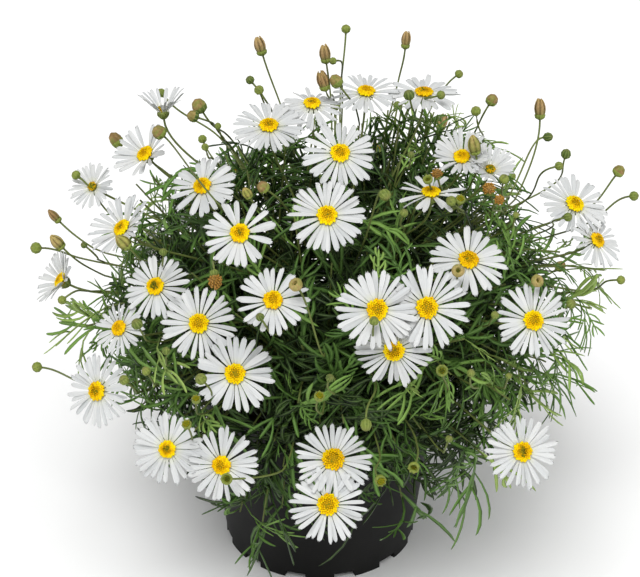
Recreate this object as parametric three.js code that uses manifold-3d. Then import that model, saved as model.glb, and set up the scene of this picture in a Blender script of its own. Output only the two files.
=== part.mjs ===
// A swan river daisy in a round nursery pot, in millimetres, +Z up.
// The pot stands on z = 0. Three rooted cuttings fill it with one leafy mound of narrow, lobed
// leaves, and white daisies and closed buds stand over the mound on slender stalks.
import * as THREE from "three";
import { mergeVertices } from "three/addons/utils/BufferGeometryUtils.js";
import Module from "manifold-3d";

const wasm = await Module();
wasm.setup();

// Driving dimensions
const POT = {
  rimRadius: 58, baseRadius: 46, height: 93, wall: 1.6, lipOut: 2, lipHeight: 9, sides: 24,
  feet: 12, footHeight: 3.2, notchShare: 0.48, notchDepth: 9.6, floorThickness: 2.2,
  drains: 6, drainRadius: 3.2, drainRing: 30, drainSides: 6,
};
const SOIL = { drop: 9, wallGap: 0.7, crumb: 1.2, crumbRings: 4, sides: 18 };
const GAP = 0.3; // between pieces that touch on the real plant
const NOTHING = 1e-4; // lengths and volumes below this are none
const MOUND = { centre: new THREE.Vector3(8, 0, 126), across: 115, high: 88 };
const CUTTING = { stemRadius: 4, ring: 22, rootDepth: 24, sides: 8, parting: 1.2 };
// The dense inside of the mound, against its leafy outside. It clears the soil and the pot's lip,
// and then rises round the mound's middle through the given degrees. Its surface goes in and out
// by turns between two shares of the mound's size, in pointed tufts.
const CORE = {
  inner: 0.54, outer: 0.74, sides: 24, rises: [-24, -7, 10, 27, 45, 66],
  soilGap: 4, potInset: 9, lipInset: 3, lipGap: 5,
};
const ROOT = { overPot: 14, widest: 0.84, sideInset: 4 }; // where stalks and leaves may start in it
const BLOOM_RISE = 12; // how far the daisies' shell stands over the leaves
const BUD_RISE = 24;
const FAR_LIFT = { bloom: 0.4, bud: 0.6 }; // how far the far side's faces and tips turn upward
const RAYS = { count: 9, thickness: 0.8, rootShare: 0.28, gapShare: 0.13, short: 0.05, droop: 0.13 };
const DISC = { share: 0.26, height: 2.4, sides: 8, floret: 0.35, shoulder: 0.8 };
const CALYX = { height: 3.6, share: 0.19 };
const STALK = { radius: 0.75, sides: 4, steps: 2, depths: [0.8, 0.6, 0.95], straight: 0.4 };
const SWAYS = [
  [0, 0], [7, 0], [-7, 0], [0, 10], [0, -10], [14, 0], [-14, 0], [14, 12], [-14, 12], [14, -12], [-14, -12],
  [24, 0], [-24, 0], [0, 24], [0, -24], [24, 20], [-24, 20], [24, -20], [-24, -20],
]; // how far a stalk may sway aside and upward
const BUD = { sides: 4, low: 0.35, high: 0.75, shoulder: 0.8, shifts: [0, -4, 4, -8, 8, -12, 12, -18, 18] };
// A leaf's lobes start at a share of its length, run on for a share of it and turn by an angle.
const LEAF = {
  longest: 62, ribHalf: 1, thickness: 0.8, lobeWidth: 3.4, stagger: 0.03, arch: 0.003, rootDepth: 0.86,
  lobes: [{ at: 0.42, long: 0.36, angle: 40 }, { at: 0.66, long: 0.27, angle: 36 }],
  tilts: [0.9, 0.75, 0.6, 0.45, 0.3, 0.2, 0.1], roll: 0.7,
};
const LEAF_COUNT = 76;
const LEAF_HEIGHTS = { top: 0.97, span: 1.72 }; // shares of the mound's height from its middle
const MEETING = { step: 0.4, reach: 26, overlap: 3 }; // how a daisy is brought to its neighbour
const SEED = 20;

// The view in which the daisies' places are given: u runs right and v down, in pixels of a
// 640 by 577 picture, seen from the front and from above.
const VIEW = {
  elevation: THREE.MathUtils.degToRad(32), distance: 1200, millimetresPerPixel: 0.47,
  middleU: 320, middleV: 288.5, aim: new THREE.Vector3(0, 0, 137),
};

// Daisies seen from the front, those whose rays touch together in one list, each touching the one
// before it. lean says how the face turns from the viewer, right and then up. near brings a daisy
// towards the viewer, in millimetres. cup lifts the rays of one that is still opening, in degrees.
const FRONT_BLOOMS = {
  top: [
    { name: "top_left", u: 269, v: 127, across: 36, lean: [-0.05, 0.74] },
    { name: "top_middle", u: 312, v: 105, across: 31, lean: [0, 0.78] },
    { name: "top_right", u: 366, v: 93, across: 33, lean: [0.05, 0.82] },
    { name: "top_back", u: 424, v: 94, across: 35, lean: [0.05, 0.88], near: 20 },
  ],
  crest: [
    { name: "crest_lower", u: 327, v: 216, across: 36, lean: [0, 0.35], near: 7 },
    { name: "crest_upper", u: 340, v: 154, across: 35, lean: [0.05, 0.4] },
  ],
  left_heart: [{ name: "left_heart", u: 240, v: 234, across: 34, lean: [-0.1, 0.3], near: 4 }],
  left_shoulder: [{ name: "left_shoulder", u: 203, v: 187, across: 33, lean: [-0.3, 0.5] }],
  left_crown: [
    { name: "left_crown", u: 146, v: 155, across: 33, lean: [-0.5, 0.55], near: 4 },
  ],
  left_opening: [{ name: "left_opening", u: 165, v: 110, across: 29, lean: [-0.5, 0.8], near: 8, cup: 40 }],
  left_spray: [{ name: "left_spray", u: 93, v: 187, across: 24, lean: [-0.45, 0.3] }],
  left_flank: [{ name: "left_flank", u: 123, v: 229, across: 34, lean: [-0.6, 0.5], near: 3 }],
  far_left: [{ name: "far_left", u: 62, v: 281, across: 30, lean: [-0.8, 0.4] }],
  left_nest: [
    { name: "left_side", u: 120, v: 329, across: 27, lean: [-0.5, 0.3] },
    { name: "left_nest", u: 156, v: 287, across: 32, lean: [-0.3, 0.3] },
    { name: "left_face", u: 199, v: 324, across: 36, lean: [-0.15, 0.2] },
    { name: "left_low_face", u: 235, v: 374, across: 37, lean: [-0.05, 0.1] },
  ],
  left_hang: [{ name: "left_hang", u: 98, v: 391, across: 35, lean: [-0.55, 0], near: 4 }],
  low_left: [
    { name: "low_left", u: 168, v: 449, across: 35, lean: [-0.3, -0.1], near: 4 },
    { name: "low_left_inner", u: 222, v: 465, across: 36, lean: [-0.2, -0.1] },
  ],
  heart: [{ name: "heart", u: 273, v: 301, across: 33, lean: [0, 0.35], near: 2 }],
  middle: [
    { name: "middle", u: 377, v: 310, across: 37.5, lean: [0.05, 0.1], near: 6 },
    { name: "middle_right", u: 427, v: 308, across: 39, lean: [0.05, 0.1] },
    { name: "middle_below", u: 394, v: 350, across: 37, lean: [0.02, -0.3] },
  ],
  front: [
    { name: "front_lower", u: 328, v: 505, across: 36.5, lean: [0, 0.15], near: 6 },
    { name: "front_upper", u: 333, v: 460, across: 36.5, lean: [0.05, 0.3] },
  ],
  right_crest: [{ name: "right_crest", u: 431, v: 194, across: 33, lean: [0, 0.84], near: 4 }],
  right_heart: [{ name: "right_heart", u: 468, v: 261, across: 36, lean: [0.15, 0.5], near: 2 }],
  right_face: [{ name: "right_face", u: 533, v: 321, across: 36, lean: [0.2, 0.2], near: 6 }],
  low_right: [{ name: "low_right", u: 522, v: 452, across: 35, lean: [0.2, 0.1], near: 6 }],
  far_right: [
    { name: "far_right", u: 574, v: 205, across: 36, lean: [0.35, 0.55], near: 4 },
    { name: "far_right_low", u: 596, v: 241, across: 30, lean: [0.6, 0.4] },
  ],
  right_crown: [
    { name: "right_crown", u: 462, v: 158, across: 29, lean: [-0.05, 0.6], near: 4 },
    { name: "right_opening", u: 496, v: 170, across: 25, lean: [0.2, 0.6], cup: 30 },
  ],
};

// Daisies on the far side, in the same lists, by bearing (0 is the viewer's right and 90 straight
// away from the viewer) and by height over the mound's middle, both in degrees.
const FAR_BLOOMS = {
  far_side_right: [
    { name: "far_right_a", bearing: 44, height: -16, across: 33 },
    { name: "far_right_b", bearing: 56, height: -10, across: 35 },
    { name: "far_right_c", bearing: 64, height: 1, across: 34 },
  ],
  far_side_middle: [
    { name: "far_middle_a", bearing: 80, height: 10, across: 34 },
    { name: "far_middle_b", bearing: 88, height: -2, across: 36 },
    { name: "far_middle_c", bearing: 97, height: -12, across: 34 },
  ],
  far_side_left: [
    { name: "far_left_a", bearing: 114, height: 5, across: 35 },
    { name: "far_left_b", bearing: 123, height: -5, across: 36 },
    { name: "far_left_c", bearing: 132, height: -13, across: 33 },
  ],
};

// Young daisies whose small disc is in one node with their rays
const ONE_PIECE_BLOOMS = ["left_opening", "left_spray", "right_opening"];

// Buds and closed heads seen from the front: radius, length, and the way the tip points in the view
const FRONT_BUDS = [
  { u: 346, v: 29, radius: 2.2, length: 4.3, tip: [0.05, 1] },
  { u: 260, v: 46, radius: 3, length: 9.5, tip: [-0.25, 1] },
  { u: 325, v: 54, radius: 3, length: 9.5, tip: [-0.15, 1] },
  { u: 323, v: 81, radius: 3, length: 9.5, tip: [-0.3, 1] },
  { u: 406, v: 40, radius: 2.5, length: 8.5, tip: [0.15, 1] },
  { u: 250, v: 80, radius: 2.1, length: 4, tip: [-0.5, 0.8] },
  { u: 199, v: 106, radius: 3.3, length: 7, tip: [-0.5, 0.8] },
  { u: 162, v: 93, radius: 1.9, length: 4.6, tip: [-0.9, 0.3] },
  { u: 116, v: 140, radius: 2.8, length: 7.6, tip: [-0.6, 0.8] },
  { u: 54, v: 216, radius: 2.3, length: 7.8, tip: [-0.7, 0.7] },
  { u: 57, v: 242, radius: 3.3, length: 8.2, tip: [-0.7, 0.7] },
  { u: 36, v: 248, radius: 2.7, length: 5.4, tip: [-1, -0.1] },
  { u: 62, v: 305, radius: 2.1, length: 4.2, tip: [-0.8, -0.5] },
  { u: 37, v: 367, radius: 2.5, length: 5, tip: [-1, 0.1] },
  { u: 263, v: 187, radius: 2.8, length: 5.6, tip: [-0.7, 0.5] },
  { u: 296, v: 262, radius: 2.9, length: 6, tip: [-0.6, 0.7] },
  { u: 187, v: 418, radius: 2.7, length: 5.4, tip: [0, 0.5] },
  { u: 366, v: 425, radius: 2.3, length: 5.6, tip: [0, -1] },
  { u: 414, v: 467, radius: 2.4, length: 4.8, tip: [-0.2, -0.5] },
  { u: 442, v: 371, radius: 2.5, length: 5, tip: [0, 0.2] },
  { u: 537, v: 282, radius: 2.7, length: 5.4, tip: [0.4, 0.5] },
  { u: 571, v: 304, radius: 2.1, length: 4.2, tip: [0.6, 0.5] },
  { u: 621, v: 280, radius: 1.8, length: 3.8, tip: [0.9, 0] },
  { u: 634, v: 196, radius: 2.2, length: 4.4, tip: [1, 0.1] },
  { u: 619, v: 171, radius: 2.6, length: 5.2, tip: [0.7, 0.7] },
  { u: 566, v: 154, radius: 2.1, length: 4.6, tip: [0.3, 1] },
  { u: 540, v: 109, radius: 3, length: 10.5, tip: [0, 1] },
  { u: 492, v: 100, radius: 2.6, length: 5.6, tip: [0.5, 0.8] },
  { u: 459, v: 75, radius: 1.9, length: 4, tip: [0.8, 0.5] },
];

// Buds on the far side, by bearing and height like its daisies
const FAR_BUDS = [
  { bearing: 34, height: -12, radius: 2.6, length: 6 },
  { bearing: 70, height: -14, radius: 2.4, length: 5 },
  { bearing: 66, height: 18, radius: 2.8, length: 9 },
  { bearing: 102, height: 14, radius: 2.4, length: 5 },
  { bearing: 110, height: -12, radius: 2.6, length: 6 },
  { bearing: 142, height: -4, radius: 2.8, length: 8 },
];

const UP = new THREE.Vector3(0, 0, 1);
const random = seeded(SEED);

// A repeatable stream of numbers from 0 to 1
function seeded(seed) {
  let state = seed;
  return () => {
    state = (state + 0x6d2b79f5) | 0;
    let mixed = Math.imul(state ^ (state >>> 15), 1 | state);
    mixed = (mixed + Math.imul(mixed ^ (mixed >>> 7), 61 | mixed)) ^ mixed;
    return ((mixed ^ (mixed >>> 14)) >>> 0) / 2 ** 32;
  };
}

function between(low, high) {
  return low + (high - low) * random();
}

function turnOf(share) {
  return share * 2 * Math.PI;
}

// Solids: closed geometry in, closed geometry out
function solidOf(geometry) {
  const loose = geometry.index ? geometry.toNonIndexed() : geometry;
  const merged = mergeVertices(loose.deleteAttribute("normal").deleteAttribute("uv"), NOTHING);
  const corners = merged.index.array;
  const faces = [];
  for (let i = 0; i < corners.length; i += 3) {
    const [a, b, c] = [corners[i], corners[i + 1], corners[i + 2]];
    if (a !== b && b !== c && a !== c) faces.push(a, b, c);
  }
  const vertProperties = merged.getAttribute("position").array;
  return new wasm.Manifold(new wasm.Mesh({ numProp: 3, vertProperties, triVerts: new Uint32Array(faces) }));
}

function meshOf(solid, name, color, roughness) {
  const { vertProperties, triVerts } = solid.getMesh();
  const geometry = new THREE.BufferGeometry()
    .setAttribute("position", new THREE.BufferAttribute(vertProperties, 3))
    .setIndex(new THREE.BufferAttribute(triVerts, 1));
  const mesh = new THREE.Mesh(geometry, new THREE.MeshStandardMaterial({ color, roughness, metalness: 0 }));
  mesh.name = name;
  return mesh;
}

function fuse(solids) {
  return solids.reduce((whole, next) => whole.add(next));
}

function overlap(one, other) {
  return one.intersect(other).volume();
}

function crosses(solid, others) {
  return others.some((other) => overlap(solid, other) > NOTHING);
}

function upright(normal) {
  return new THREE.Quaternion().setFromUnitVectors(UP, normal);
}

function standing(geometry, at, normal) {
  return geometry.applyQuaternion(upright(normal)).translate(at.x, at.y, at.z);
}

// A shape turned round the Z axis, from [radius, height] pairs
function turned(profile, sides) {
  const points = profile.map(([radius, height]) => new THREE.Vector2(radius, height));
  return new THREE.LatheGeometry(points, sides).rotateX(Math.PI / 2);
}

function extruded(points, depth) {
  const shape = new THREE.Shape(points.map(([x, y]) => new THREE.Vector2(x, y)));
  return new THREE.ExtrudeGeometry(shape, { depth, bevelEnabled: false });
}

function bend(geometry, rule) {
  const position = geometry.getAttribute("position");
  const point = new THREE.Vector3();
  for (let i = 0; i < position.count; i++) {
    rule(point.fromBufferAttribute(position, i));
    position.setXYZ(i, point.x, point.y, point.z);
  }
  return geometry;
}

// The view: from a pixel to a place on a shell round the mound
const viewRight = new THREE.Vector3(1, 0, 0);
const viewUp = new THREE.Vector3(0, Math.sin(VIEW.elevation), Math.cos(VIEW.elevation));
const viewForward = new THREE.Vector3().crossVectors(viewUp, viewRight);
const eye = VIEW.aim.clone().addScaledVector(viewForward, -VIEW.distance);

function sightline({ u, v }) {
  return viewForward.clone().multiplyScalar(VIEW.distance / VIEW.millimetresPerPixel)
    .addScaledVector(viewRight, u - VIEW.middleU)
    .addScaledVector(viewUp, VIEW.middleV - v)
    .normalize();
}

function shellRadii(rise) {
  return new THREE.Vector3(MOUND.across + rise, MOUND.across + rise, MOUND.high + rise);
}

// Where a sightline meets the shell, or comes closest to it past the outline
function seenOnShell(pixel, rise, near = 0) {
  const radii = shellRadii(rise);
  const line = sightline(pixel);
  const from = eye.clone().sub(MOUND.centre).divide(radii);
  const step = line.clone().divide(radii);
  const square = step.dot(step);
  const half = from.dot(step);
  const inside = Math.max(0, half * half - square * (from.dot(from) - 1));
  return eye.clone().addScaledVector(line, (-half - Math.sqrt(inside)) / square - near);
}

// A direction that leans from the viewer's: right, then up in the view
function seenDirection(pixel, [right, up]) {
  const shrink = Math.max(1, Math.hypot(right, up) / 0.95);
  const towards = sightline(pixel).negate();
  const upward = new THREE.Vector3().crossVectors(towards, viewRight);
  const depth = Math.sqrt(1 - (right * right + up * up) / shrink ** 2);
  return towards.multiplyScalar(depth)
    .addScaledVector(viewRight, right / shrink)
    .addScaledVector(upward, up / shrink)
    .normalize();
}

function outwardAt(bearing, height) {
  const [turn, rise] = [THREE.MathUtils.degToRad(bearing), THREE.MathUtils.degToRad(height)];
  return new THREE.Vector3(Math.cos(rise) * Math.cos(turn), Math.cos(rise) * Math.sin(turn), Math.sin(rise));
}

// Pot: a tapered shell with a lip, a raised floor with drain holes, and a notched foot
function makePot() {
  const { rimRadius, baseRadius, height, wall, lipOut, lipHeight, footHeight, floorThickness } = POT;
  const floorTop = footHeight + floorThickness;
  const underLip = height - lipHeight;
  const shell = solidOf(turned([
    [0, footHeight], [baseRadius - 2 * wall, footHeight], [baseRadius - 2 * wall, 0], [baseRadius, 0],
    [wallRadius(underLip), underLip], [wallRadius(underLip) + lipOut, underLip],
    [rimRadius + lipOut, height], [rimRadius - wall, height],
    [wallRadius(floorTop) - wall, floorTop], [0, floorTop],
  ], POT.sides));
  const cutters = [];
  for (let k = 0; k < POT.feet; k++) {
    const width = (POT.notchShare * turnOf(baseRadius)) / POT.feet;
    const notch = new THREE.BoxGeometry(POT.notchDepth, width, 2 * footHeight - GAP);
    cutters.push(solidOf(notch.translate(baseRadius - wall, 0, 0).rotateZ(turnOf((k + 0.5) / POT.feet))));
  }
  for (let k = 0; k < POT.drains; k++) {
    const outline = [[0, 0], [POT.drainRadius, 0], [POT.drainRadius, height / 2], [0, height / 2]];
    const drain = turned(outline, POT.drainSides);
    cutters.push(solidOf(drain.translate(POT.drainRing, 0, 0).rotateZ(turnOf(k / POT.drains))));
  }
  return cutters.reduce((whole, cutter) => whole.subtract(cutter), shell);
}

function wallRadius(z) {
  return POT.baseRadius + ((POT.rimRadius - POT.baseRadius) * z) / POT.height;
}

function soilTop() {
  return POT.height - SOIL.drop;
}

// Soil: fills the pot to just under its lip, with a crumbly top and a plain hole for each cutting
function makeSoil(stems) {
  const bottom = POT.footHeight + POT.floorThickness + GAP;
  const soilRadius = (z) => wallRadius(z) - POT.wall - SOIL.wallGap;
  const profile = [[0, bottom], [soilRadius(bottom), bottom]];
  for (let k = SOIL.crumbRings; k >= 0; k--) {
    profile.push([(soilRadius(soilTop()) * k) / SOIL.crumbRings, soilTop() - SOIL.crumb * (k % 2)]);
  }
  const radius = CUTTING.stemRadius + GAP;
  const hole = turned([[0, 0], [radius, 0], [radius, POT.height], [0, POT.height]], CUTTING.sides);
  hole.translate(0, 0, soilTop() - CUTTING.rootDepth);
  return stems.reduce(
    (soil, stem) => soil.subtract(solidOf(hole.clone().translate(stem.x, stem.y, 0))),
    solidOf(turned(profile, SOIL.sides)),
  );
}

// One daisy's rays: a thin wheel of blades that droop, or rise where the daisy is still opening
function makeRays(bloom) {
  const reach = bloom.across / 2;
  const root = reach * RAYS.rootShare;
  const outline = [];
  for (let k = 0; k < RAYS.count; k++) {
    const tip = reach * (1 - RAYS.short * ((k + 2) % 3));
    const corners = [[root, 0], [tip, RAYS.gapShare], [tip, 1 - RAYS.gapShare]];
    for (const [radius, share] of corners) {
      const angle = turnOf((k + share) / RAYS.count);
      outline.push([radius * Math.cos(angle), radius * Math.sin(angle)]);
    }
  }
  const lift = THREE.MathUtils.degToRad(bloom.cup ?? 0);
  const slope = bloom.cup ? Math.tan(lift) : -RAYS.droop;
  const wheel = bend(extruded(outline, RAYS.thickness), (point) => {
    const radius = Math.hypot(point.x, point.y);
    const out = Math.max(0, radius - root - NOTHING) * Math.cos(lift);
    const kept = out > 0 ? (root + out) / radius : 1;
    point.set(point.x * kept, point.y * kept, point.z - RAYS.thickness / 2 + out * slope);
  });
  return solidOf(standing(wheel.rotateZ(bloom.turn), bloom.at, bloom.normal));
}

// A daisy's middle: a low dome whose florets stand out as relief
function makeDisc(bloom, lift) {
  const radius = (bloom.across / 2) * DISC.share - DISC.floret;
  const shoulder = [DISC.shoulder * radius, DISC.shoulder * DISC.height];
  const dome = turned([[0, 0], [radius, 0], shoulder, [0, DISC.height]], DISC.sides);
  bend(dome, (point) => {
    const spoke = Math.round((Math.atan2(point.y, point.x) / turnOf(1)) * DISC.sides);
    const swell = 1 + (spoke % 2 === 0 ? DISC.floret : -DISC.floret) / radius;
    point.set(point.x * swell, point.y * swell, point.z + RAYS.thickness / 2 + lift);
  });
  return solidOf(standing(dome, bloom.at, bloom.normal));
}

// The green cup under a daisy, from its foot up
function calyxProfile(bloom) {
  return [[(bloom.across / 2) * CALYX.share, CALYX.height], [0, CALYX.height]];
}

function calyxFoot(bloom) {
  return bloom.at.clone().addScaledVector(bloom.normal, -RAYS.thickness / 2 - GAP - CALYX.height);
}

function makeCalyx(bloom) {
  const cup = turned([[0, 0], ...calyxProfile(bloom)], STALK.sides);
  return solidOf(standing(cup, calyxFoot(bloom), bloom.normal));
}

function bloomBodies(bloom) {
  return { rays: makeRays(bloom), disc: makeDisc(bloom, GAP), calyx: makeCalyx(bloom) };
}

// Whether two daisies stand clear of each other, apart from rays that may run together
function standApart(one, other, raysMayMeet) {
  const reach = (one.across + other.across) / 2 + 2 * CALYX.height;
  if (one.at.distanceTo(other.at) > reach) return true;
  return Object.entries(one.bodies).every(([name, body]) => Object.entries(other.bodies).every(
    ([otherName, otherBody]) => (raysMayMeet && name === "rays" && otherName === "rays")
      || overlap(body, otherBody) < NOTHING,
  ));
}

// The turn of a daisy about its own axis that points one of its rays at a place
function turnTowards(bloom, place) {
  const way = place.clone().sub(bloom.at).applyQuaternion(upright(bloom.normal).invert());
  return Math.atan2(way.y, way.x) - turnOf(0.5 / RAYS.count);
}

// Brings a daisy along its line, by turns nearer and farther, to where it stands clear of the
// others and its rays run through those of its neighbour, if it has one
function settle(bloom, neighbour, towards, placed) {
  for (let k = 0; k <= (2 * MEETING.reach) / MEETING.step; k++) {
    const shift = MEETING.step * Math.ceil(k / 2) * (k % 2 ? 1 : -1);
    const moved = { ...bloom, at: bloom.at.clone().addScaledVector(bloom.line, shift) };
    moved.turn = turnTowards(moved, towards);
    moved.bodies = bloomBodies(moved);
    if (neighbour && overlap(moved.bodies.rays, neighbour.bodies.rays) < MEETING.overlap) continue;
    if (placed.every((other) => standApart(moved, other, other.rays === bloom.rays))) return moved;
  }
  throw new Error("no clear place for the daisy " + bloom.name);
}

function placeBlooms() {
  const front = Object.entries(FRONT_BLOOMS).map(([rays, list]) => list.map((bloom) => ({
    ...bloom, rays, line: sightline(bloom),
    at: seenOnShell(bloom, BLOOM_RISE, bloom.near), normal: seenDirection(bloom, bloom.lean),
  })));
  const far = Object.entries(FAR_BLOOMS).map(([rays, list]) => list.map((bloom) => {
    const outward = outwardAt(bloom.bearing, bloom.height);
    const at = outward.clone().multiply(shellRadii(BLOOM_RISE)).add(MOUND.centre);
    const normal = outward.clone().addScaledVector(UP, FAR_LIFT.bloom).normalize();
    return { ...bloom, rays, line: outward.clone().negate(), at, normal };
  }));
  const placed = [];
  for (const list of [...front, ...far]) {
    list.forEach((bloom, k) => {
      const neighbour = k > 0 ? placed.at(-1) : null;
      placed.push(settle(bloom, neighbour, (neighbour ?? list[1])?.at ?? MOUND.centre, [...placed]));
    });
  }
  return placed;
}

function placeBuds() {
  const front = FRONT_BUDS.map((one) => ({
    ...one, line: sightline(one), at: seenOnShell(one, BUD_RISE), normal: seenDirection(one, one.tip),
  }));
  const far = FAR_BUDS.map((one) => {
    const line = outwardAt(one.bearing, one.height);
    const at = line.clone().multiply(shellRadii(BUD_RISE)).add(MOUND.centre);
    return { ...one, line, at, normal: line.clone().addScaledVector(UP, FAR_LIFT.bud).normalize() };
  });
  return [...front, ...far];
}

// A bud is a pointed barrel, from its foot up.
function budProfile({ radius, length }) {
  return [[radius, BUD.low * length], [BUD.shoulder * radius, BUD.high * length], [0, length]];
}

// The three cuttings stand side by side, each in its third of the mound
const CUTTINGS = ["cutting_front", "cutting_right", "cutting_left"].map((name, k) => {
  const middle = turnOf(k / 3 - 0.25);
  const out = new THREE.Vector3(Math.cos(middle), Math.sin(middle), 0);
  return { name, middle, out, stem: out.clone().multiplyScalar(CUTTING.ring) };
});

// How far a point lies inside a cutting's third: the smaller distance to its two sides
function insideThird(cutting, point) {
  return Math.min(...[-1, 1].map((side) => {
    const inward = cutting.middle + side * (Math.PI / 3 - Math.PI / 2);
    return point.x * Math.cos(inward) + point.y * Math.sin(inward);
  }));
}

function belongsTo(cutting, point) {
  return CUTTINGS.every((other) => insideThird(cutting, point) >= insideThird(other, point));
}

// The dense inside of a cutting's third, hollowed over the pot's lip, and its stem base
function makeCore(cutting) {
  const radii = shellRadii(0).multiplyScalar(CORE.inner);
  const bottom = soilTop() + CORE.soilGap;
  const profile = [
    [0, bottom], [POT.rimRadius - CORE.potInset, bottom],
    [POT.rimRadius - CORE.lipInset, POT.height + CORE.lipGap],
  ];
  for (const angle of CORE.rises) {
    const rise = THREE.MathUtils.degToRad(angle);
    profile.push([radii.x * Math.cos(rise), MOUND.centre.z + radii.z * Math.sin(rise)]);
  }
  const firstTufts = profile.length - CORE.rises.length;
  profile.push([0, MOUND.centre.z + radii.z]);
  const core = bend(turned(profile, CORE.sides), (point) => {
    const ring = profile.findIndex(([, height]) => Math.abs(height - point.z) < NOTHING);
    const spoke = Math.round((Math.atan2(point.y, point.x) / turnOf(1)) * CORE.sides) + CORE.sides;
    if (ring < firstTufts || ring === profile.length - 1 || (ring + spoke) % 2 === 0) return;
    point.z -= MOUND.centre.z;
    point.multiplyScalar(CORE.outer / CORE.inner);
    point.z += MOUND.centre.z;
  });
  const corners = [-1, 0, 1].map((side) => {
    const edge = cutting.middle + (side * Math.PI) / 3;
    return [3 * MOUND.across * Math.cos(edge), 3 * MOUND.across * Math.sin(edge)];
  });
  const third = extruded([[0, 0], ...corners], 3 * MOUND.high);
  third.translate(CUTTING.parting * cutting.out.x, CUTTING.parting * cutting.out.y, 0);
  const foot = soilTop() - CUTTING.rootDepth + GAP;
  const stemTop = soilTop() + CUTTING.rootDepth;
  const { stemRadius } = CUTTING;
  const stem = turned([[0, foot], [stemRadius, foot], [stemRadius, stemTop], [0, stemTop]], CUTTING.sides);
  stem.translate(cutting.stem.x, cutting.stem.y, 0);
  return solidOf(core).intersect(solidOf(third)).add(solidOf(stem));
}

// A point sunk in a cutting's core, on the way from the mound's middle to a place outside
function rootPoint(cutting, place, depth) {
  const radii = shellRadii(0).multiplyScalar(CORE.inner);
  const way = place.clone().sub(MOUND.centre);
  const root = MOUND.centre.clone().addScaledVector(way, depth / way.clone().divide(radii).length());
  root.z = Math.max(root.z, POT.height + ROOT.overPot);
  const spread = Math.max(1, Math.hypot(root.x, root.y) / (radii.x * ROOT.widest));
  root.set(root.x / spread, root.y / spread, root.z);
  const short = CUTTING.parting + ROOT.sideInset - insideThird(cutting, root);
  if (short > 0) root.addScaledVector(cutting.out, short / Math.sin(Math.PI / 3));
  return root;
}

// A turned shape bent along a path, and on in the path's last direction where it is longer
function bentAlong(path, side, geometry) {
  const run = path.getLength();
  return bend(geometry, (point) => {
    const share = THREE.MathUtils.clamp(point.z / run, 0, 1);
    const along = path.getTangentAt(share);
    const across = side.clone().addScaledVector(along, -side.dot(along)).normalize();
    const third = new THREE.Vector3().crossVectors(along, across);
    const middle = path.getPointAt(share).addScaledVector(along, Math.max(0, point.z - run));
    point.copy(middle.addScaledVector(across, point.x).addScaledVector(third, point.y));
  });
}

// A slender stalk from the core to the foot of a daisy's cup or a bud, which it carries. It meets
// it along its axis and sways aside on the way.
function makeStalk(root, foot, axis, [aside, upward], head) {
  const side = new THREE.Vector3().crossVectors(axis, foot.clone().sub(root));
  if (side.length() < 1) side.crossVectors(axis, viewRight);
  side.normalize();
  const last = foot.clone().addScaledVector(axis, -STALK.straight * root.distanceTo(foot));
  const first = root.clone().lerp(last, 0.5).addScaledVector(side, aside).addScaledVector(UP, upward);
  const path = new THREE.CubicBezierCurve3(root, first, last, foot);
  const run = path.getLength();
  const profile = [[0, 0]];
  for (let k = 0; k <= STALK.steps; k++) profile.push([STALK.radius, (k / STALK.steps) * run]);
  for (const [radius, height] of head.profile) profile.push([radius, run + height]);
  return solidOf(bentAlong(path, side, turned(profile, head.sides)));
}

// A daisy's green cup or a bud on its stalk, swayed aside until it stands clear. A bud may also
// move along its line.
function growHead(cutting, head, others) {
  for (const shift of head.shifts) {
    const foot = head.foot.clone().addScaledVector(head.line, shift);
    for (const depth of STALK.depths) {
      const root = rootPoint(cutting, foot, depth);
      for (const sway of SWAYS) {
        const stalk = makeStalk(root, foot, head.normal, sway, head);
        if (!crosses(stalk, others)) return stalk;
      }
    }
  }
  throw new Error("no clear way for a stalk to " + head.foot.toArray().map(Math.round));
}

// One leaf: a rib with two pairs of narrow lobes and a long end lobe, cut from one arched blade
function makeLeafBlade(length) {
  const { ribHalf } = LEAF;
  const upper = [[LEAF.lobes[0].at * length, ribHalf]];
  for (const { at, long, angle } of LEAF.lobes) {
    const turn = THREE.MathUtils.degToRad(angle);
    upper.push([length * (at + long * Math.cos(turn)), ribHalf + length * long * Math.sin(turn)]);
    upper.push([at * length + LEAF.lobeWidth, ribHalf]);
  }
  const lower = upper.map(([x, y]) => [x - LEAF.stagger * length, -y]).reverse();
  const blade = extruded([[0, -ribHalf], [0, ribHalf], ...upper, [length, 0], ...lower], LEAF.thickness);
  return bend(blade, (point) => {
    point.z += LEAF.arch * (point.x * point.x - point.y * point.y);
  });
}

// Leaves stand out of the core all round, by the golden angle
function leafPlace(index) {
  const height = LEAF_HEIGHTS.top - LEAF_HEIGHTS.span * ((index + 0.5) / LEAF_COUNT);
  const around = index * Math.PI * (3 - Math.sqrt(5));
  const flat = Math.sqrt(1 - height * height);
  const outward = new THREE.Vector3(flat * Math.cos(around), flat * Math.sin(around), height);
  return outward.multiply(shellRadii(0)).add(MOUND.centre);
}

// A leaf leans to some side by its tilt, its face turned outward but for a random roll
function makeLeaf(cutting, place, tilt) {
  const root = rootPoint(cutting, place, LEAF.rootDepth);
  const outward = place.clone().sub(root).normalize();
  const aside = new THREE.Vector3().crossVectors(UP, outward).normalize()
    .applyAxisAngle(outward, between(0, turnOf(1)));
  const along = outward.clone().addScaledVector(aside, tilt).normalize();
  const across = new THREE.Vector3().crossVectors(outward, along).normalize()
    .applyAxisAngle(along, between(-LEAF.roll, LEAF.roll));
  const face = new THREE.Vector3().crossVectors(along, across);
  const length = Math.min(LEAF.longest, root.distanceTo(place) * Math.hypot(1, tilt));
  const blade = makeLeafBlade(length).applyMatrix4(new THREE.Matrix4().makeBasis(along, across, face));
  return solidOf(blade.translate(root.x, root.y, root.z));
}

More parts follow.
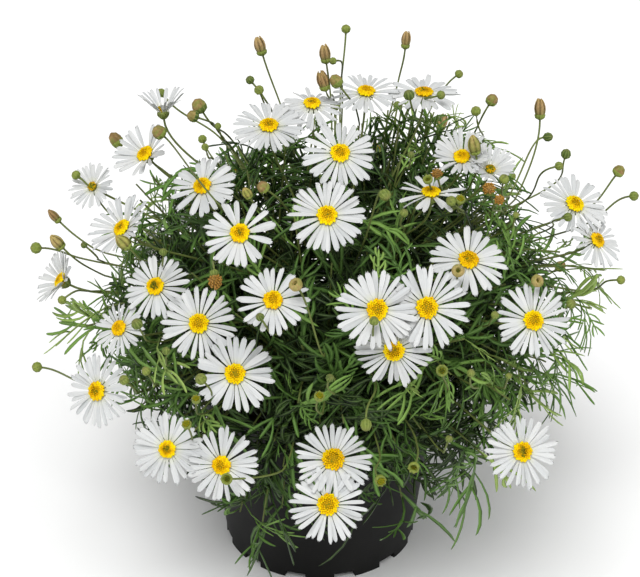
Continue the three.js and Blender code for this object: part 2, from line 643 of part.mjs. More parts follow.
function growCutting(cutting, blooms, buds, others) {
  const heads = [
    ...blooms.map((one) => ({
      ...one, shifts: [0], foot: calyxFoot(one), profile: calyxProfile(one), sides: STALK.sides,
    })),
    ...buds.map((one) => ({
      ...one, shifts: BUD.shifts, profile: budProfile(one), sides: BUD.sides,
      foot: one.at.clone().addScaledVector(one.normal, -one.length / 2),
    })),
  ].filter((one) => belongsTo(cutting, one.foot));
  const grown = heads.map((head) => growHead(cutting, head, others));
  for (let i = 0; i < LEAF_COUNT; i++) {
    const place = leafPlace(i);
    if (!belongsTo(cutting, place)) continue;
    for (const tilt of LEAF.tilts) {
      const leaf = makeLeaf(cutting, place, tilt);
      if (crosses(leaf, others) || crosses(leaf, grown)) continue;
      grown.push(leaf);
      break;
    }
  }
  return fuse([makeCore(cutting), ...grown]);
}

function makePlant() {
  const plant = new THREE.Group();
  const pot = makePot();
  const soil = makeSoil(CUTTINGS.map((cutting) => cutting.stem));
  plant.add(meshOf(pot, "pot", 0x1c1c1b, 0.45), meshOf(soil, "soil", 0x2b2019, 0.95));

  const blooms = placeBlooms();
  const flowers = [];
  const rayNames = [...new Set(blooms.map((bloom) => bloom.rays))];
  for (const name of rayNames) {
    const parts = [];
    for (const bloom of blooms.filter((one) => one.rays === name)) {
      parts.push(bloom.bodies.rays);
      if (name in FAR_BLOOMS || ONE_PIECE_BLOOMS.includes(bloom.name)) {
        parts.push(makeDisc(bloom, -GAP));
        continue;
      }
      flowers.push(bloom.bodies.disc);
      plant.add(meshOf(bloom.bodies.disc, "disc_" + bloom.name, 0xf0b400, 0.7));
    }
    const rays = fuse(parts);
    flowers.push(rays);
    plant.add(meshOf(rays, "rays_" + name, 0xf4f4f6, 0.6));
  }

  const buds = placeBuds();
  const cuttings = [];
  for (const [k, cutting] of CUTTINGS.entries()) {
    const coresToCome = CUTTINGS.slice(k + 1).map(makeCore);
    const grown = growCutting(cutting, blooms, buds, [pot, soil, ...flowers, ...cuttings, ...coresToCome]);
    cuttings.push(grown);
    plant.add(meshOf(grown, cutting.name, 0x3f6b2a, 0.7));
  }
  return plant;
}

// The origin is on the surface that the pot stands on, under the middle of the whole plant.
function centred(plant) {
  const middle = new THREE.Box3().setFromObject(plant).getCenter(new THREE.Vector3());
  plant.position.set(-middle.x, -middle.y, 0);
  return new THREE.Group().add(plant);
}

export default centred(makePlant());
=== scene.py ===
import math
import random

import bmesh
import bpy
from mathutils import Matrix, Vector, noise


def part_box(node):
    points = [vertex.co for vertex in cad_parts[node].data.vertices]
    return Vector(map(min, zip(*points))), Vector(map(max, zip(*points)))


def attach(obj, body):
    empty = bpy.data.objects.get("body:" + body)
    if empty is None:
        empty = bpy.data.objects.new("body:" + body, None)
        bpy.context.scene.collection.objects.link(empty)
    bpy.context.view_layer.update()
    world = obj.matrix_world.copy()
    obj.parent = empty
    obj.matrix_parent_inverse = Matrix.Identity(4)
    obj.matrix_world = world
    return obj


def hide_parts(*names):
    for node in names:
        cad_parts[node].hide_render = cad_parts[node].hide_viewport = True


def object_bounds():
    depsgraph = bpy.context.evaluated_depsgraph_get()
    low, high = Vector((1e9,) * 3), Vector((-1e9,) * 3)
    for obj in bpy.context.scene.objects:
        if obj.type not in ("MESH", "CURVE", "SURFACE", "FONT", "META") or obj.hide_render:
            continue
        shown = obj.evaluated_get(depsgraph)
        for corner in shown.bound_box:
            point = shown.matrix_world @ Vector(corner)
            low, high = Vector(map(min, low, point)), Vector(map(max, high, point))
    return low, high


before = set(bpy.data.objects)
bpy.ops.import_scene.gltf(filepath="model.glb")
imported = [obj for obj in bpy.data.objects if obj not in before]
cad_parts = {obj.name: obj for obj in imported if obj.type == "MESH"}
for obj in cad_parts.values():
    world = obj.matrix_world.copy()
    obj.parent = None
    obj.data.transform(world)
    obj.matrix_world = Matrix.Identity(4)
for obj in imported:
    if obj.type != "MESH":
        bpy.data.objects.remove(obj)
cad_low, cad_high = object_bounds()

# Sizes are in millimetres times MM, so that they read as the real ones.
MM = 0.001
SEED = 20
draw = random.Random(SEED)
thinning = random.Random(SEED)

UP = Vector((0, 0, 1))
AS_MADE = Matrix.Identity(4)
NEXT_TURN = 2.4  # about the golden angle, by which leaves and small florets follow each other
POT_LOW, POT_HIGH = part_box("pot")
POT_AXIS = Vector(((POT_LOW.x + POT_HIGH.x) / 2, (POT_LOW.y + POT_HIGH.y) / 2, 0))
POT_HEIGHT = POT_HIGH.z
POT_LIP = (POT_HIGH.x - POT_LOW.x) / 2
POT_BASE = 46 * MM
POT_WALL = 1.6 * MM
POT_LIP_OUT = 2 * MM
POT_LIP_HEIGHT = 9 * MM
POT_FEET = 12
POT_FOOT_HEIGHT = 3.2 * MM
POT_FLOOR = POT_FOOT_HEIGHT + 2.2 * MM
POT_RING_PITCH = 1.4 * MM  # of the fine rings that moulding leaves
SOIL_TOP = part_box("soil")[1].z
CRUMB_COUNT = 420

# The leafy mound, and the shells over it that the daisies and the buds stand on
MOUND_MIDDLE = POT_AXIS + Vector((8, 0, 126)) * MM
MOUND_ACROSS = 115 * MM
MOUND_HIGH = 88 * MM
BLOOM_RISE = 12 * MM
BUD_RISE = 24 * MM

# The photograph's view. A place seen in it is given by u, to the right, and v, downwards, in its
# pixels, and a way that something leans or points by its share to the right and upwards.
IMAGE_WIDTH, IMAGE_HEIGHT = 640, 577
VIEW_ELEVATION = math.radians(32)
VIEW_DISTANCE = 1200 * MM
VIEW_PIXEL = 0.47 * MM  # what a pixel covers at that distance
VIEW_AIM = POT_AXIS + Vector((0, 0, 137)) * MM
VIEW_RIGHT = Vector((1, 0, 0))
VIEW_UP = Vector((0, math.sin(VIEW_ELEVATION), math.cos(VIEW_ELEVATION)))
VIEW_FORWARD = VIEW_UP.cross(VIEW_RIGHT)
EYE = VIEW_AIM - VIEW_DISTANCE * VIEW_FORWARD
SENSOR = 36

# Daisies seen in the photograph by their group of rays: name, u, v, width in millimetres, lean
DAISIES = {
    "top": [
        ("top_left", 269, 127, 36, (-0.05, 0.74)),
        ("top_middle", 312, 105, 31, (0, 0.78)),
        ("top_right", 366, 93, 33, (0.05, 0.82)),
        ("top_back", 424, 94, 35, (0.05, 0.88)),
    ],
    "crest": [
        ("crest_lower", 327, 216, 36, (0, 0.35)),
        ("crest_upper", 340, 154, 35, (0.05, 0.4)),
    ],
    "left_heart": [("left_heart", 240, 234, 34, (-0.1, 0.3))],
    "left_shoulder": [("left_shoulder", 203, 187, 33, (-0.3, 0.5))],
    "left_crown": [("left_crown", 146, 155, 33, (-0.5, 0.55))],
    "left_opening": [("left_opening", 165, 110, 29, (-0.5, 0.8))],
    "left_spray": [("left_spray", 93, 187, 24, (-0.45, 0.3))],
    "left_flank": [("left_flank", 123, 229, 34, (-0.6, 0.5))],
    "far_left": [("far_left", 62, 281, 30, (-0.8, 0.4))],
    "left_nest": [
        ("left_side", 120, 329, 27, (-0.5, 0.3)),
        ("left_nest", 156, 287, 32, (-0.3, 0.3)),
        ("left_face", 199, 324, 36, (-0.15, 0.2)),
        ("left_low_face", 235, 374, 37, (-0.05, 0.1)),
    ],
    "left_hang": [("left_hang", 98, 391, 35, (-0.55, 0))],
    "low_left": [
        ("low_left", 168, 449, 35, (-0.3, -0.1)),
        ("low_left_inner", 222, 465, 36, (-0.2, -0.1)),
    ],
    "heart": [("heart", 273, 301, 33, (0, 0.35))],
    "middle": [
        ("middle", 377, 310, 37.5, (0.05, 0.1)),
        ("middle_right", 427, 308, 39, (0.05, 0.1)),
        ("middle_below", 394, 350, 37, (0.02, -0.3)),
    ],
    "front": [
        ("front_lower", 328, 505, 36.5, (0, 0.15)),
        ("front_upper", 333, 460, 36.5, (0.05, 0.3)),
    ],
    "right_crest": [("right_crest", 431, 194, 33, (0, 0.84))],
    "right_heart": [("right_heart", 468, 261, 36, (0.15, 0.5))],
    "right_face": [("right_face", 533, 321, 36, (0.2, 0.2))],
    "low_right": [("low_right", 522, 452, 35, (0.2, 0.1))],
    "far_right": [
        ("far_right", 574, 205, 36, (0.35, 0.55)),
        ("far_right_low", 596, 241, 30, (0.6, 0.4)),
    ],
    "right_crown": [
        ("right_crown", 462, 158, 29, (-0.05, 0.6)),
        ("right_opening", 496, 170, 25, (0.2, 0.6)),
    ],
}
# Those still opening: how far their rays rise, in degrees
OPENING = {
    "left_opening": 44, "right_opening": 34, "left_spray": 14, "far_left": 36, "left_crown": 26,
    "left_flank": 20, "right_crown": 26,
}
YOUNG = ["left_opening", "right_opening", "left_spray"]
# Others whose middle florets are still green
GREEN_HEARTED = ["left_nest", "low_right", "low_left", "far_middle_b", "far_left_a"]
# A young daisy that leans otherwise than its simple solid
LEANS = {"left_opening": (-0.1, 0.93)}
# How far the rays of others droop at their tips
DROOPING = {"top_middle": 0.34, "middle_below": 0.2, "far_left": 0.16, "crest_upper": 0.24}
# The share of the rays that others still have
SPARSE = {
    "right_crest": 0.6, "left_heart": 0.88, "left_shoulder": 0.86, "left_crown": 0.76,
    "left_opening": 0.66,
}
# How much larger or smaller the discs of others are
DISC_SIZES = {"front_upper": 1.14, "front_lower": 1.08, "low_left": 0.87, "low_left_inner": 0.91}
# Daisies of the far side by their group: name, bearing, height in degrees, width in millimetres
FAR_DAISIES = {
    "far_side_right": [
        ("far_right_a", 44, -16, 33), ("far_right_b", 56, -10, 35), ("far_right_c", 64, 1, 34),
    ],
    "far_side_middle": [
        ("far_middle_a", 80, 10, 34), ("far_middle_b", 88, -2, 36), ("far_middle_c", 97, -12, 34),
    ],
    "far_side_left": [
        ("far_left_a", 114, 5, 35), ("far_left_b", 123, -5, 36), ("far_left_c", 132, -13, 33),
    ],
}
# How far the daisies and buds of the far side turn up
FAR_DAISY_LIFT = 0.4
FAR_BUD_LIFT = 0.6

# Parts of a daisy
RAY_COUNTS = (25, 30)
RAY_FORMS = 8
RAY_ROOT = 0.19  # share of the daisy's radius
RAY_WIDTH = 0.63  # share of each ray's part of the daisy's rim
RAY_STOPS = [0, 0.1, 0.23, 0.38, 0.54, 0.69, 0.82, 0.91, 0.965, 1]  # rows of points on its way
DISC_SHARE = 0.21
DISC_HEIGHT = 2.5 * MM
DISC_TOP = 3.1 * MM  # the CAD disc's top over the daisy's middle
DISC_NEAR = 9 * MM  # how near its daisy's line the disc is looked for
JOINED_DISC_NEAR = 3 * MM  # the same where the disc is in one body with its rays
JOINED_DISC_SINK = 0.6 * MM  # how much lower the top of such a disc is
CUP_BRACTS = 12
CUP_HEIGHT = 3.6 * MM  # to the tips of its bracts
CUP_DROP = 4.3 * MM  # from the daisy's middle down to the cup's foot
FLORET_COUNT = 80
FLORET_SIZE = 0.68 * MM
STALK_RADIUS = 0.5 * MM

# Buds seen in the photograph: kind, u, v, width and length in millimetres, where the tip points,
# and the pixel where the stalk goes into the leaves
BUDS = [
    ("green", 346, 29, 4.4, 4.4, (0.05, 1), (341, 84)),
    ("closed", 260, 46, 6, 10, (-0.3, 1), (281, 106)),
    ("closed", 325, 54, 6, 9.8, (-0.15, 1), (330, 90)),
    ("green", 333, 61, 3.4, 3.6, (-0.9, -0.1), (342, 82)),
    ("closed", 323, 81, 6, 10, (-0.3, 1), (334, 100)),
    ("opening", 336, 81, 5.8, 6.6, (-0.6, 0.8), (359, 121)),
    ("closed", 406, 40, 5, 9.2, (0.1, 1), (399, 78)),
    ("green", 250, 80, 4, 4, (-0.6, 0.7), (262, 98)),
    ("green", 259, 90, 4.4, 4.4, (-0.5, 0.8), (274, 116)),
    ("opening", 199, 106, 6.6, 7.4, (-0.5, 0.8), (232, 140)),
    ("opening", 193, 116, 5.4, 5.6, (-0.9, 0.3), (222, 136)),
    ("green", 162, 93, 3.8, 4.8, (-0.6, 0.8), (216, 134)),
    ("opening", 116, 140, 6, 8.4, (-0.6, 0.8), (148, 160)),
    ("opening", 159, 132, 6.4, 6.6, (-0.7, 0.6), (214, 199)),
    ("green", 76, 175, 4.4, 4.2, (-0.8, 0.6), (108, 212)),
    ("spindle", 54, 216, 4.8, 8.4, (-0.7, 0.7), (90, 246)),
    ("striped", 57, 242, 6.6, 8.8, (-0.7, 0.7), (101, 274)),
    ("green", 36, 248, 5.4, 5.4, (-1, 0), (80, 258)),
    ("green", 84, 245, 3, 3, (-0.6, 0.5), (104, 262)),
    ("green", 62, 300, 4, 4, (-0.8, -0.6), (96, 291)),
    ("green", 37, 367, 4.8, 4.8, (-1, 0.1), (86, 384)),
    ("striped", 123, 242, 7, 8.4, (-0.7, 0.7), (150, 268)),
    ("green", 163, 252, 3.4, 3.4, (0, 1), (166, 268)),
    ("green", 137, 324, 5, 5, (-0.4, 0.7), (152, 342)),
    ("green", 166, 351, 3.6, 3.6, (0, 1), (172, 366)),
    ("green", 146, 371, 4, 4, (-0.4, 0.6), (160, 384)),
    ("green", 201, 379, 5, 5, (-0.5, 0.5), (214, 396)),
    ("green", 124, 380, 4.4, 4.4, (-0.5, 0.4), (140, 392)),
    ("young", 187, 425, 4.4, 4, (-0.2, 0.4), (196, 440)),
    ("young", 196, 400, 4, 4, (0, 0.5), (204, 414)),
    ("opening", 263, 187, 5.2, 5.6, (-0.7, 0.5), (289, 212)),
    ("striped", 247, 193, 5.2, 5.8, (-0.5, 0.8), (262, 212)),
    ("green", 385, 195, 5, 5.6, (0.5, -0.6), (366, 236)),
    ("hollow", 296, 285, 6, 5.8, (-0.35, 0.5), (321, 352)),
    ("green", 374, 321, 4, 4, (0.1, 0.8), (377, 350)),
    ("green", 260, 317, 3.6, 3.6, (-0.4, 0.6), (272, 334)),
    ("withered", 215, 280, 6.4, 9.4, (0.1, -1), (216, 262)),
    ("green", 404, 213, 3.6, 3.6, (0.3, 0.7), (404, 230)),
    ("hollow", 458, 271, 5.8, 4.6, (0.1, 0.3), (462, 292)),
    ("hollow", 537, 281, 5.8, 4.6, (0.5, 0.2), (528, 302)),
    ("ring", 442, 371, 5.2, 4, (0, 0.2), (448, 390)),
    ("green", 568, 217, 4, 4, (0.9, 0.2), (547, 230)),
    ("green", 634, 196, 4.4, 4.6, (1, 0.1), (594, 220)),
    ("green", 621, 280, 4, 4, (0.9, 0), (592, 290)),
    ("green", 571, 304, 4.4, 4.4, (0.6, 0.5), (556, 320)),
    ("withered", 489, 189, 6.4, 6.4, (-0.2, 0.8), (494, 206)),
    ("withered", 499, 200, 5, 5.6, (0.4, 0.4), (502, 214)),
    ("withered", 437, 174, 5.4, 5.4, (-0.2, 0.9), (440, 190)),
    ("ring", 428, 180, 4.4, 3.4, (-0.2, 0.6), (432, 198)),
    ("green", 459, 74, 4, 4, (0.7, 0.5), (441, 92)),
    ("green", 441, 95, 4, 4, (0.8, 0.2), (409, 108)),
    ("opening", 492, 100, 5.6, 6, (0.5, 0.8), (472, 137)),
    ("green", 476, 111, 4.6, 4.6, (-0.1, 1), (482, 146)),
    ("striped", 474, 145, 7, 9.8, (-0.2, 1), (470, 186)),
    ("closed", 540, 109, 6, 10.6, (0, 1), (517, 196)),
    ("green", 548, 137, 4.2, 4.8, (1, 0.1), (505, 202)),
    ("green", 566, 154, 4.6, 5, (0.3, 1), (560, 178)),
    ("green", 559, 166, 4, 4, (0.9, 0.2), (526, 200)),
    ("opening", 619, 171, 5.6, 5.8, (0.6, 0.8), (596, 202)),
    ("green", 409, 95, 5, 5, (-0.2, 0.9), (408, 112)),
    ("green", 504, 179, 4.4, 4.4, (0.2, 0.8), (508, 200)),
    ("green", 366, 425, 4.6, 5.6, (0, -1), (376, 388)),
    ("ring", 414, 467, 5, 4, (-0.2, -0.5), (416, 440)),
    ("young", 319, 397, 4.6, 4, (0.2, 0.5), (322, 414)),
    ("young", 380, 480, 5, 4.6, (0.3, -0.4), (380, 456)),
    ("ring", 227, 479, 5.2, 4, (-0.2, 0), (280, 472)),
    ("green", 330, 378, 3.6, 3.6, (0.2, 0.4), (334, 394)),
    ("green", 495, 315, 3.4, 3.4, (0.3, 0.4), (486, 326)),
    ("green", 218, 126, 2.8, 3.2, (-0.3, 1), (232, 148)),
    ("green", 205, 147, 3.2, 3.4, (-0.3, 1), (216, 162)),
    ("green", 471, 373, 3.4, 3.6, (0.1, 0.6), (478, 388)),
    ("green", 509, 376, 2.8, 3, (0.2, 0.5), (500, 388)),
    ("green", 449, 439, 3.2, 3.4, (0.2, 0.5), (440, 450)),
    ("green", 451, 201, 4.4, 4.6, (-0.4, 0.4), (462, 214)),
    ("young", 460, 200, 4.4, 4, (0.2, 0.5), (464, 216)),
    ("green", 516, 215, 2.8, 3, (0.2, 0.6), (510, 228)),
    ("green", 411, 155, 3.2, 3.4, (0.1, 0.8), (404, 170)),
]
# Buds of the far side: kind, bearing and height in degrees, width and length in millimetres
FAR_BUDS = [
    ("opening", 34, -12, 5.2, 6), ("green", 70, -14, 4.8, 5), ("closed", 66, 18, 5.6, 9),
    ("green", 102, 14, 4.8, 5), ("opening", 110, -12, 5.2, 6), ("striped", 142, -4, 5.6, 8),
    ("green", 76, 22, 4.4, 4.4), ("green", 50, 6, 4.2, 4.2), ("ring", 104, -2, 5.2, 4),
    ("green", 120, 14, 4.4, 4.4), ("withered", 72, -4, 5.6, 6), ("young", 90, 20, 4.4, 4),
]

# The pixels of stalks that pass over a daisy, and how high they stand over the mound there
HIGH_ENTRIES = {(214, 199): 24 * MM}

# What each kind of bud is made of: the width, length and tone of its green base, and the head in it
# by form, width, length and range of tones. The others, "hollow", "ring" and "young", are open cups.
BUD_KINDS = {
    "green": (1, 1, None, None),
    "opening": (1, 0.74, None, ("core", 0.97, 1, (0.22, 0.4))),
    "spindle": (0.8, 0.34, 0.8, ("folded", 1, 1, (0.42, 0.42))),
    "closed": (0.84, 0.4, 0.75, ("open", 1, 1, (0.45, 0.8))),
    "striped": (0.68, 0.34, 1, ("folded", 1, 1, (0.86, 1))),
    "withered": (0.6, 0.36, None, ("withered", 1, 0.9, (0, 0.12))),
}
BUD_BRACTS = 9
CUP_FLORETS = 18
SPIKE_COUNT = 64
WITHERED_MIDDLE = 1.15  # the height of a withered head's middle, in halves of its length

# The rooted cuttings, by the bearing of their feet in the soil
CUTTINGS = {"front": -90, "right": 30, "left": 150}
CUTTING_RING = 22 * MM

# Leafy shoots
SHOOT_COUNT = 176
SHOOT_HEIGHTS = (0.97, -0.86)  # of the mound's height, from its middle
SHOOT_REACH = (0.74, 0.92)  # of the mound's size
SHOOT_LEAVES = 8
INNER_LEAVES = 3
CREST_REACH = 1.02  # of the mound's size, which no leaf passes on top
LOOSE_REACH = 1.14  # the same at the back on the right, where the crest is looser
LEAF_ROOM = 3 * MM  # how far a leaf may reach past the CAD's box
# Leaves in this middle of the front are painted darker: painted shade under the front daisies.
FRONT_SHADE = 68 * MM  # half the width of the dark middle of the front
# Further shoots that the photograph shows at its outline: the pixel that each tip is seen at
SPRAYS = [
    (586, 292), (592, 308), (562, 340), (586, 268), (546, 362), (528, 384), (484, 456), (104, 308),
    (102, 334), (86, 326), (136, 184), (152, 176), (140, 200), (148, 258), (510, 400), (524, 372),
    (520, 214), (540, 232), (560, 252), (604, 270), (240, 512), (262, 526), (282, 508), (404, 506),
    (128, 402), (132, 412), (388, 110), (402, 104), (418, 102), (434, 112), (450, 122), (458, 134),
    (396, 120), (412, 118), (428, 126), (444, 140),
]
# Where the photograph sees between the leaves to what is behind: the pixel, how wide, and the share
# of the leaves that stay
THIN_PLACES = [
    ((458, 213), 12 * MM, 0.35), ((535, 244), 13 * MM, 0.4), ((580, 262), 10 * MM, 0.5),
    ((408, 130), 20 * MM, 0.42), ((482, 362), 9 * MM, 0.4), ((482, 418), 10 * MM, 0.4),
    ((450, 455), 9 * MM, 0.4), ((160, 400), 11 * MM, 0.4), ((150, 362), 7 * MM, 0.45),
]

# Leaves by kind: pairs of lobes, length, rib width, lobe length share, lobe width, angle of the lobes
LEAF_KINDS = {
    "broad": (3, 38 * MM, 2.1 * MM, 0.52, 1.95 * MM, 44),
    "fine": (3, 21 * MM, 1.4 * MM, 0.5, 1.4 * MM, 44),
    "strap": (1, 33 * MM, 2.4 * MM, 0.5, 2.1 * MM, 36),
    "pair": (2, 37 * MM, 2.1 * MM, 0.56, 1.95 * MM, 40),
}
LEAF_FORMS = 6
TIP_LEAVES = ("fine", "fine", "pair", "broad")
STEM_LEAVES = ("broad", "broad", "strap", "pair", "pair")
# Rows of points on a lobe's way, and its widths there
LOBE_STOPS = [0, 0.25, 0.5, 0.77, 0.94, 1]
BLUNT = [0.58, 0.72, 0.86, 1, 0.78, 0.26]
TAPERED = [0.55, 0.84, 1, 0.84, 0.46, 0.1]


# Shaping

def toned():
    """An empty shape whose points hold the tone that each copy put in it is given."""
    bm = bmesh.new()
    bm.verts.layers.float.new("tone")
    return bm


def smooth(bm):
    for face in bm.faces:
        face.smooth = True


def keep_crisp(bm, degrees):
    """Keeps the edges crisp whose faces turn by more than this."""
    for edge in bm.edges:
        if edge.is_manifold and edge.calc_face_angle() > math.radians(degrees):
            edge.smooth = False


def shaped(bm, rule):
    for vert in bm.verts:
        vert.co = rule(vert.co)


def set_uv(bm, rule):
    """Writes a shape's UV map from the places of its points."""
    uv = bm.loops.layers.uv.get("UVMap") or bm.loops.layers.uv.new("UVMap")
    for face in bm.faces:
        for loop in face.loops:
            loop[uv].uv = rule(loop.vert.co)


def across_and_along(co):
    return (co.y + 1) / 2, co.x


def template(name, bm):
    """Keeps a shape as a mesh that put() repeats, with a tone that each copy sets."""
    if "tone" not in bm.verts.layers.float:
        bm.verts.layers.float.new("tone")
    bmesh.ops.recalc_face_normals(bm, faces=bm.faces)
    smooth(bm)
    mesh = bpy.data.meshes.new(name)
    bm.to_mesh(mesh)
    bm.free()
    return mesh


def put(bm, mesh, matrix=AS_MADE, tone=0.5):
    """Adds a copy of a mesh to a shape, stood where the matrix says and of that tone."""
    copy = mesh.copy()
    copy.transform(matrix)
    copy.attributes["tone"].data.foreach_set("value", [tone] * len(copy.vertices))
    bm.from_mesh(copy)
    bpy.data.meshes.remove(copy)


def put_once(bm, form, matrix=AS_MADE, tone=0.5):
    """Puts in a shape that isn't used again."""
    mesh = template("form", form)
    put(bm, mesh, matrix, tone)
    bpy.data.meshes.remove(mesh)


def link(name, data):
    made = bpy.data.objects.new(name, data)
    bpy.context.scene.collection.objects.link(made)
    return made


def piece(name, bm, material, nodes):
    """A finished piece that stands for CAD nodes and rides with the plant."""
    mesh = bpy.data.meshes.new(name)
    bm.to_mesh(mesh)
    bm.free()
    mesh.materials.append(material)
    made = link(name, mesh)
    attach(made, "root")
    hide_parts(*nodes)


def ball(segments, rings, radius=1.0):
    bm = bmesh.new()
    bmesh.ops.create_uvsphere(bm, u_segments=segments, v_segments=rings, radius=radius)
    bm.loops.layers.uv.new("UVMap")
    return bm


def blade(across, along):
    """A closed flat blade from x 0 to 1 and y -1 to 1, one unit thick, with its UV map."""
    bm = bmesh.new()
    bmesh.ops.create_grid(bm, x_segments=along, y_segments=across, size=1)
    shaped(bm, lambda co: Vector(((co.x + 1) / 2, co.y, 0)))
    bmesh.ops.solidify(bm, geom=bm.faces[:], thickness=1)
    middle = sum(vert.co.z for vert in bm.verts) / len(bm.verts)
    shaped(bm, lambda co: Vector((min(1, max(0, co.x)), co.y, co.z - middle)))
    set_uv(bm, across_and_along)
    keep_crisp(bm, 60)
    return bm


def rod(sides, spans):
    """A closed rod of unit radius from x 0 to 1, with its UV map."""
    bm = bmesh.new()
    bmesh.ops.create_cone(
        bm, cap_ends=True, segments=sides, radius1=1, radius2=1, depth=1,
        matrix=Matrix.Translation((0.5, 0, 0)) @ Matrix.Rotation(math.pi / 2, 4, "Y"),
    )
    lengthwise = [edge for edge in bm.edges if abs(edge.verts[0].co.x - edge.verts[1].co.x) > 0.5]
    bmesh.ops.subdivide_edges(bm, edges=lengthwise, cuts=spans - 1)
    shaped(bm, lambda co: Vector((min(1, max(0, co.x)), co.y, co.z)))
    set_uv(bm, across_and_along)
    return bm


def turned_profile(points, steps):
    """A closed shape: a profile of (radius, height) pairs turned round the Z axis."""
    bm = bmesh.new()
    verts = [bm.verts.new((radius, 0, height)) for radius, height in points]
    edges = [bm.edges.new(pair) for pair in zip(verts, verts[1:])]
    bmesh.ops.spin(
        bm, geom=verts + edges, cent=(0, 0, 0), axis=(0, 0, 1), angle=math.tau, steps=steps,
        use_merge=True,
    )
    bmesh.ops.remove_doubles(bm, verts=bm.verts, dist=1e-6)
    bmesh.ops.recalc_face_normals(bm, faces=bm.faces)
    return bm


def along_path(path, radius_at, sides, spans):
    """A closed tube along a path, whose radius is given by its share of the way."""
    bm = rod(sides, spans)

    def rule(co):
        middle, along = path(co.x)
        side = along.cross(UP)
        side = side.normalized() if side.length > 1e-6 else Vector((1, 0, 0))
        return middle + radius_at(co.x) * (co.y * side + co.z * side.cross(along))

    shaped(bm, rule)
    return bm


def bezier(start, first, last, end):
    def path(t):
        s = 1 - t
        place = s ** 3 * start + 3 * s * s * t * first + 3 * s * t * t * last + t ** 3 * end
        along = s * s * (first - start) + 2 * s * t * (last - first) + t * t * (end - last)
        return place, along.normalized()
    return path


def joined(first, second, share):
    """One path made of two, which meet at that share of the way."""
    def path(t):
        return first(t / share) if t < share else second((t - share) / (1 - share))
    return path


def standing(place, normal, turn=0.0):
    """The matrix that stands a shape on a place, its Z along a normal."""
    upright = UP.rotation_difference(normal).to_matrix().to_4x4()
    return Matrix.Translation(place) @ upright @ Matrix.Rotation(turn, 4, "Z")


def scaled(x, y, z):
    return Matrix.Diagonal((x, y, z, 1))


# Places and directions

def golden_turn(k):
    """The turn of the place of that number where places are spread evenly round a middle."""
    return k * math.pi * (3 - math.sqrt(5))


def divided(one, other):
    return Vector((one.x / other.x, one.y / other.y, one.z / other.z))


def times(one, other):
    return Vector((one.x * other.x, one.y * other.y, one.z * other.z))


def shell(rise):
    return Vector((MOUND_ACROSS + rise, MOUND_ACROSS + rise, MOUND_HIGH + rise))


def on_ball(height, turn):
    """The place at a height and a turn on a ball of unit radius."""
    flat = math.sqrt(1 - height * height)
    return Vector((flat * math.cos(turn), flat * math.sin(turn), height))


def outward_at(bearing, height):
    """The direction of a bearing and a height in degrees."""
    turn, rise = math.radians(bearing), math.radians(height)
    return Vector((math.cos(rise) * math.cos(turn), math.cos(rise) * math.sin(turn), math.sin(rise)))


def sightline(u, v):
    return (
        (VIEW_DISTANCE / VIEW_PIXEL) * VIEW_FORWARD
        + (u - IMAGE_WIDTH / 2) * VIEW_RIGHT
        + (IMAGE_HEIGHT / 2 - v) * VIEW_UP
    ).normalized()


def seen_on_shell(u, v, rise):
    """Where a sightline meets the shell, or comes closest to it past the outline."""
    radii = shell(rise)
    line = sightline(u, v)
    start = divided(EYE - MOUND_MIDDLE, radii)
    step = divided(line, radii)
    half = start.dot(step)
    inside = max(0, half * half - step.dot(step) * (start.dot(start) - 1))
    return EYE + line * ((-half - math.sqrt(inside)) / step.dot(step))


def seen_direction(u, v, lean, most=0.95):
    right, up = lean
    shrink = max(1, math.hypot(right, up) / most)
    right, up = right / shrink, up / shrink
    towards = -sightline(u, v)
    upward = towards.cross(VIEW_RIGHT)
    depth = math.sqrt(1 - right * right - up * up)
    return (towards * depth + VIEW_RIGHT * right + upward * up).normalized()


def disc_top(node, start, line, normal, near):
    """The top of the disc in a CAD node: its furthest corner along the daisy's normal, among those
    near the line that the daisy stands on."""
    best = None
    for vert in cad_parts[node].data.vertices:
        offset = vert.co - start
        if (offset - offset.dot(line) * line).length > near:
            continue
        if best is None or vert.co.dot(normal) > best.dot(normal):
            best = vert.co.copy()
    return best


def daisy_at(group, name, width, start, line, normal):
    """A daisy that stands on its CAD disc, or on its rays where the disc is in one body with them."""
    own = "disc_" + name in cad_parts
    node = "disc_" + name if own else "rays_" + group
    top = disc_top(node, start, line, normal, DISC_NEAR if own else JOINED_DISC_NEAR)
    middle = top - (DISC_TOP if own else DISC_TOP - JOINED_DISC_SINK) * normal
    return {
        "group": group, "name": name, "node": node, "middle": middle, "normal": normal,
        "radius": width / 2 * MM,
    }


def daisy_list():
    daisies = []
    for group, members in DAISIES.items():
        for name, u, v, width, lean in members:
            normal = seen_direction(u, v, lean)
            daisy = daisy_at(group, name, width, EYE, sightline(u, v), normal)
            if name in LEANS:
                daisy["normal"] = seen_direction(u, v, LEANS[name])
            daisies.append(daisy)
    for group, members in FAR_DAISIES.items():
        for name, bearing, height, width in members:
            line = outward_at(bearing, height)
            normal = (line + FAR_DAISY_LIFT * UP).normalized()
            start = MOUND_MIDDLE + times(line, shell(BLOOM_RISE))
            daisies.append(daisy_at(group, name, width, start, line, normal))
    return daisies


# Materials

